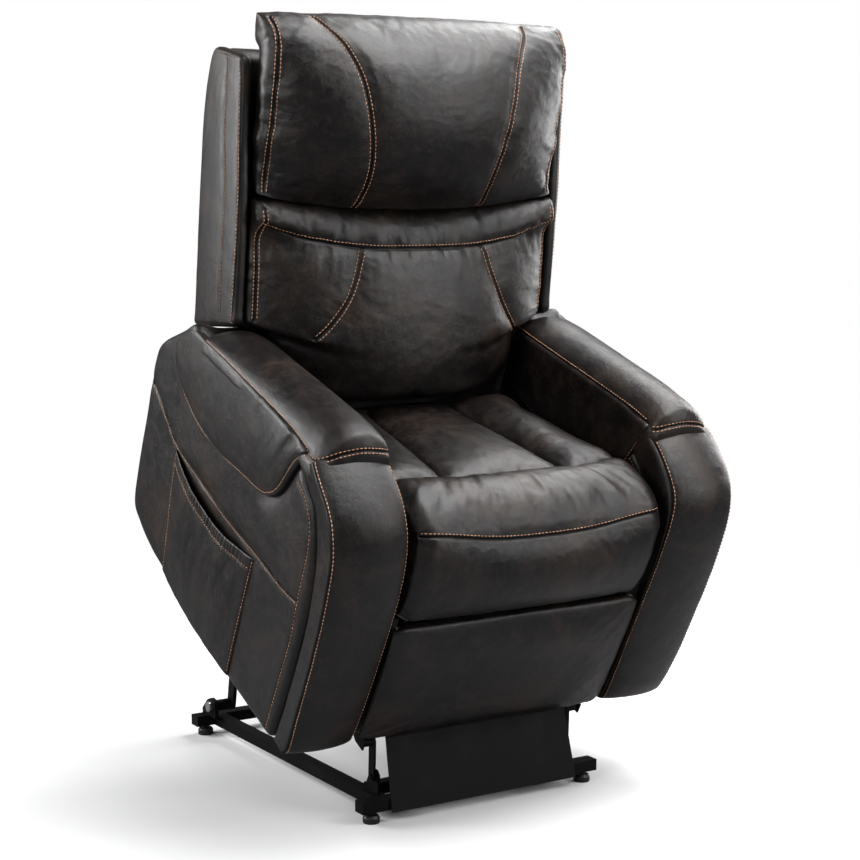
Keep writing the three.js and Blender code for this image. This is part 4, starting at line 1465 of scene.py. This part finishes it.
def build_holster():
    """An open-topped holster on the left arm: outer wall up, inner wall down."""
    rings = []
    for z in np.r_[HOLSTER_BOTTOM, 0.5215, 0.525, np.linspace(0.53, 0.598, 12), 0.603, 0.6055,
                   HOLSTER_TOP]:
        inset = 0.0015 if z in (HOLSTER_BOTTOM, HOLSTER_TOP) else 0.0
        bow = 0.0008 * math.sin((z - 0.52) / 0.086 * math.pi)
        rings.append(holster_ring(0.4277, 0.0122 - inset + bow, 0.0360 - inset + bow, z))
    for z in np.r_[0.6055, 0.600, np.linspace(0.59, 0.530, 8)]:
        rings.append(holster_ring(0.4280, 0.0098, 0.0330, z))
    y = HOLSTER_Y + np.linspace(-0.031, 0.031, 20)
    seams = [Seam(points_at(0.4400, y, z), depth=0.0006, width=0.0015, rows=(0.0,))
             for z in (0.5985, 0.527)]
    soft("holster_cover", capped(rings, 2), "seat_body", ["hand_control_holster"], seams,
         shape=creased(0.0003, (40, 40, 30), 89))


# ------------------------------------------------------------------ cloth and springs
def sheet(name, first, second, point, thickness, body="seat_body", stands=()):
    """A cloth with point(a, b) at every pair of the first and second values."""
    grid = np.array([[point(a, b) for b in second] for a in first])
    normal = np.cross(grid[-1, 0] - grid[0, 0], grid[0, -1] - grid[0, 0])
    normal = normal / np.linalg.norm(normal) * thickness
    verts, faces = outward(*two_layers(grid, grid + normal))
    return new_object(name, verts, faces, "lining_cloth", body, stands)


def dust_panel_point(x, z):
    u, t = x / 0.27, (z - 0.388) / 0.082
    ripple = 0.0012 * value_noise(points_at(x * 22, z * 5, 1.0))
    return x, 0.5485 + 0.003 * (1 - u**4) * (1 - t * t) + ripple, z


def deck_point(x, y):
    u, t = x / 0.254, (y - 0.11) / 0.234
    ripple = 0.0012 * math.sin(y * 2 * math.pi / 0.06) * (1 - u * u)
    return x, y, 0.518 - 0.012 * (1 - u * u) * (1 - t * t) + ripple


def apron_point(x, t):
    return x, 0.385 + 0.027 * t + 0.006 * math.sin(math.pi * t), 0.548 + 0.130 * t


def rear_flap_point(x, t):
    sway = math.sin(math.pi * t)
    fold = 0.0022 * sway * value_noise(points_at(x * 19, t * 2.0, 6.0))
    return x, 0.5450 + 0.012 * t + 0.006 * sway + fold, 0.462 + 0.190 * t


def blend_bodies(ob):
    """Bakes the cloth's placement into its mesh; the cloth rides no body."""
    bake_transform(ob)


def build_cloths():
    sheet("rear_dust_panel", np.linspace(-0.270, 0.270, 40), np.linspace(0.306, 0.470, 20),
          dust_panel_point, thickness=0.004, stands=["rear_panel"])
    sheet("seat_deck_cloth", np.linspace(-0.254, 0.254, 44), np.linspace(-0.124, 0.344, 40),
          deck_point, thickness=0.003, stands=["seat_deck"])
    strip_x = np.linspace(0.2520, 0.2885, 6)
    for side, tag in SIDES:  # strips that close the gap between the footrest and each arm

        def liner_point(z, j):
            y = -0.1632 + 0.003 * math.sin(math.pi * j / 5) + 0.0006 * math.sin(z * 90)
            return side * strip_x[j], y, z

        sheet("arm_front_liner_" + tag, np.linspace(0.288, 0.560, 30), range(6), liner_point,
              thickness=0.0022)
    apron = sheet("back_apron", np.linspace(-0.274, 0.274, 40), np.linspace(0, 1, 16),
                  apron_point, thickness=0.003, body=None)
    blend_bodies(apron)
    # loose cloth from the dust panel up to the back shell
    flap = sheet("rear_flap", np.linspace(-0.2822, 0.2822, 60), np.linspace(0, 1, 24),
                 rear_flap_point, thickness=0.0025, body=None)
    blend_bodies(flap)


def build_spring(number, centre_x):
    """A sagging zigzag wire that runs from front to rear under the seat."""
    name = "seat_spring_%d" % number
    wire = bpy.data.curves.new(name, "CURVE")
    wire.dimensions = "3D"
    wire.bevel_depth = 0.0017
    wire.bevel_resolution = 2
    points = []
    for t in np.linspace(0, 1, 180):
        wave = math.sin(t * math.pi * 17)
        sag = 0.010 * (1 - (2 * t - 1) ** 2) * (1 - (centre_x / 0.26) ** 2)
        x = centre_x + 0.022 * math.copysign(abs(wave) ** 0.6, wave)
        points.append((x, -0.118 + 0.456 * t, 0.505 - sag))
    spline = wire.splines.new("POLY")
    spline.points.add(len(points) - 1)
    for spline_point, point in zip(spline.points, to_world(points)):
        spline_point.co = (*point, 1)
    wire.materials.append(MATERIALS["zinc_steel"])
    ob = link_object(name, wire)
    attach(ob, "seat_body")


def finish_cad_nodes():
    """Materials and eased edges for the CAD pieces that stay in view."""
    slots = {part["node"]: part.get("material_slot") for part in frame["record"]["subparts"]}
    for name, ob in frame["nodes"].items():
        if ob.hide_render:
            continue
        ob.data.materials.clear()
        ob.data.materials.append(MATERIALS.get(slots.get(name), MATERIALS["frame_steel"]))
        bevel = ob.modifiers.new("edge", "BEVEL")
        bevel.width = 0.0006 if "button" in name else 0.0011
        bevel.segments = 2
        bevel.limit_method = "ANGLE"
        bevel.angle_limit = math.radians(38)
        bevel.harden_normals = True
        ob.data.polygons.foreach_set("use_smooth", np.ones(len(ob.data.polygons), bool))


# ------------------------------------------------------------------ lights, floor, camera
# name, location, target, size, power
LIGHTS = [
    ("key_top", (0.7, -1.0, 3.4), (0, -0.1, 0.8), (1.7, 1.7), 115),
    ("top_right", (1.75, 0.95, 3.0), (0, -0.05, 0.9), (1.3, 1.3), 50),
    ("fill_left", (-3.2, -1.2, 1.7), (0, 0, 0.75), (1.0, 2.2), 39),
    ("rim_right", (2.9, 0.6, 1.6), (0, 0, 0.75), (0.9, 2.2), 52),
    ("rim_left", (-2.4, 1.9, 1.9), (0, 0, 0.75), (0.9, 2.0), 90),
    ("front_soft", (2.1, -3.2, 1.30), (0, 0, 0.95), (1.1, 0.7), 30),
    ("front_high", (1.9, -2.7, 2.75), (0, 0, 0.8), (1.3, 1.3), 37),
]


def aim(ob, direction):
    ob.rotation_euler = direction.to_track_quat("-Z", "Y").to_euler()


def add_lights():
    for name, location, target, size, power in LIGHTS:
        light = bpy.data.lights.new(name, "AREA")
        light.shape = "RECTANGLE"
        light.size, light.size_y = size
        light.energy = power
        ob = link_object(name, light)
        ob.location = location
        aim(ob, Vector(target) - Vector(location))


def floor_material():
    """Pale to the camera, darker to other rays, fading out away from the chair."""
    shader = material_shader("floor")
    camera_ray = shader.node("LightPath").outputs["Is Camera Ray"]
    pale = shader.remap(shader.noise(scale=3.0, detail=2), span=(0.3, 0.7), to=(0.85, 0.87))
    color = shader.mix(camera_ray, (0.26, 0.26, 0.27), pale)
    away = shader.node("VectorMath", {0: shader.object_coords()}, operation="LENGTH")
    return shader.finish(shader.node("MixShader", {
        0: shader.remap(away.outputs["Value"], span=(0.7, 2.4), to=(0.0, 1.0)),
        1: shader.node("BsdfDiffuse", {0: color}).outputs[0],
        2: shader.node("BsdfTransparent").outputs[0],
    }).outputs[0])


def add_floor():
    mesh = bpy.data.meshes.new("floor")
    bm = bmesh.new()
    bmesh.ops.create_grid(bm, x_segments=8, y_segments=8, size=9.0)
    bm.to_mesh(mesh)
    bm.free()
    floor = link_object("floor", mesh)
    mesh.materials.append(floor_material())


def add_world():
    """White to the camera, a dim cool light to everything else."""
    world = bpy.data.worlds.new("studio")
    bpy.context.scene.world = world
    shader = Shader(world, "OutputWorld")
    seen = shader.node("Background", {"Color": (1, 1, 1), "Strength": 1.0})
    lit = shader.node("Background", {"Color": (0.95, 0.97, 1.0), "Strength": 0.13})
    camera_ray = shader.node("LightPath").outputs["Is Camera Ray"]
    inputs = {0: camera_ray, 1: lit.outputs[0], 2: seen.outputs[0]}
    shader.finish(shader.node("MixShader", inputs).outputs[0])


def add_camera():
    data = bpy.data.cameras.new("camera")
    data.lens, data.sensor_width = 83.032, 36.0
    camera = link_object("camera", data)
    camera.location = (-2.00232, -3.30512 + SHIFT_Y, 1.16012)
    turn, pitch = math.radians(32.187), math.radians(-7.2287)
    aim(camera, Vector((math.sin(turn) * math.cos(pitch), math.cos(turn) * math.cos(pitch),
                        math.sin(pitch))))
    bpy.context.scene.camera = camera


build_headrest()
build_back_pillow()
for side, tag in SIDES:
    build_cheek(side, tag)
build_shell()
build_seat()
build_footrest()
for side, tag in SIDES:
    build_arm_box(side, tag)
    build_arm_flap(side, tag)
    build_arm_drape(side, tag)
    build_arm_pad(side, tag)
    build_arm_front(side, tag)
build_pocket()
build_holster()
build_cloths()
for number, x in enumerate(np.linspace(-0.20, 0.20, 5), 1):
    build_spring(number, x)
finish_cad_nodes()
add_lights()
add_floor()
add_world()
add_camera()
bpy.context.scene.view_settings.view_transform = "Standard"
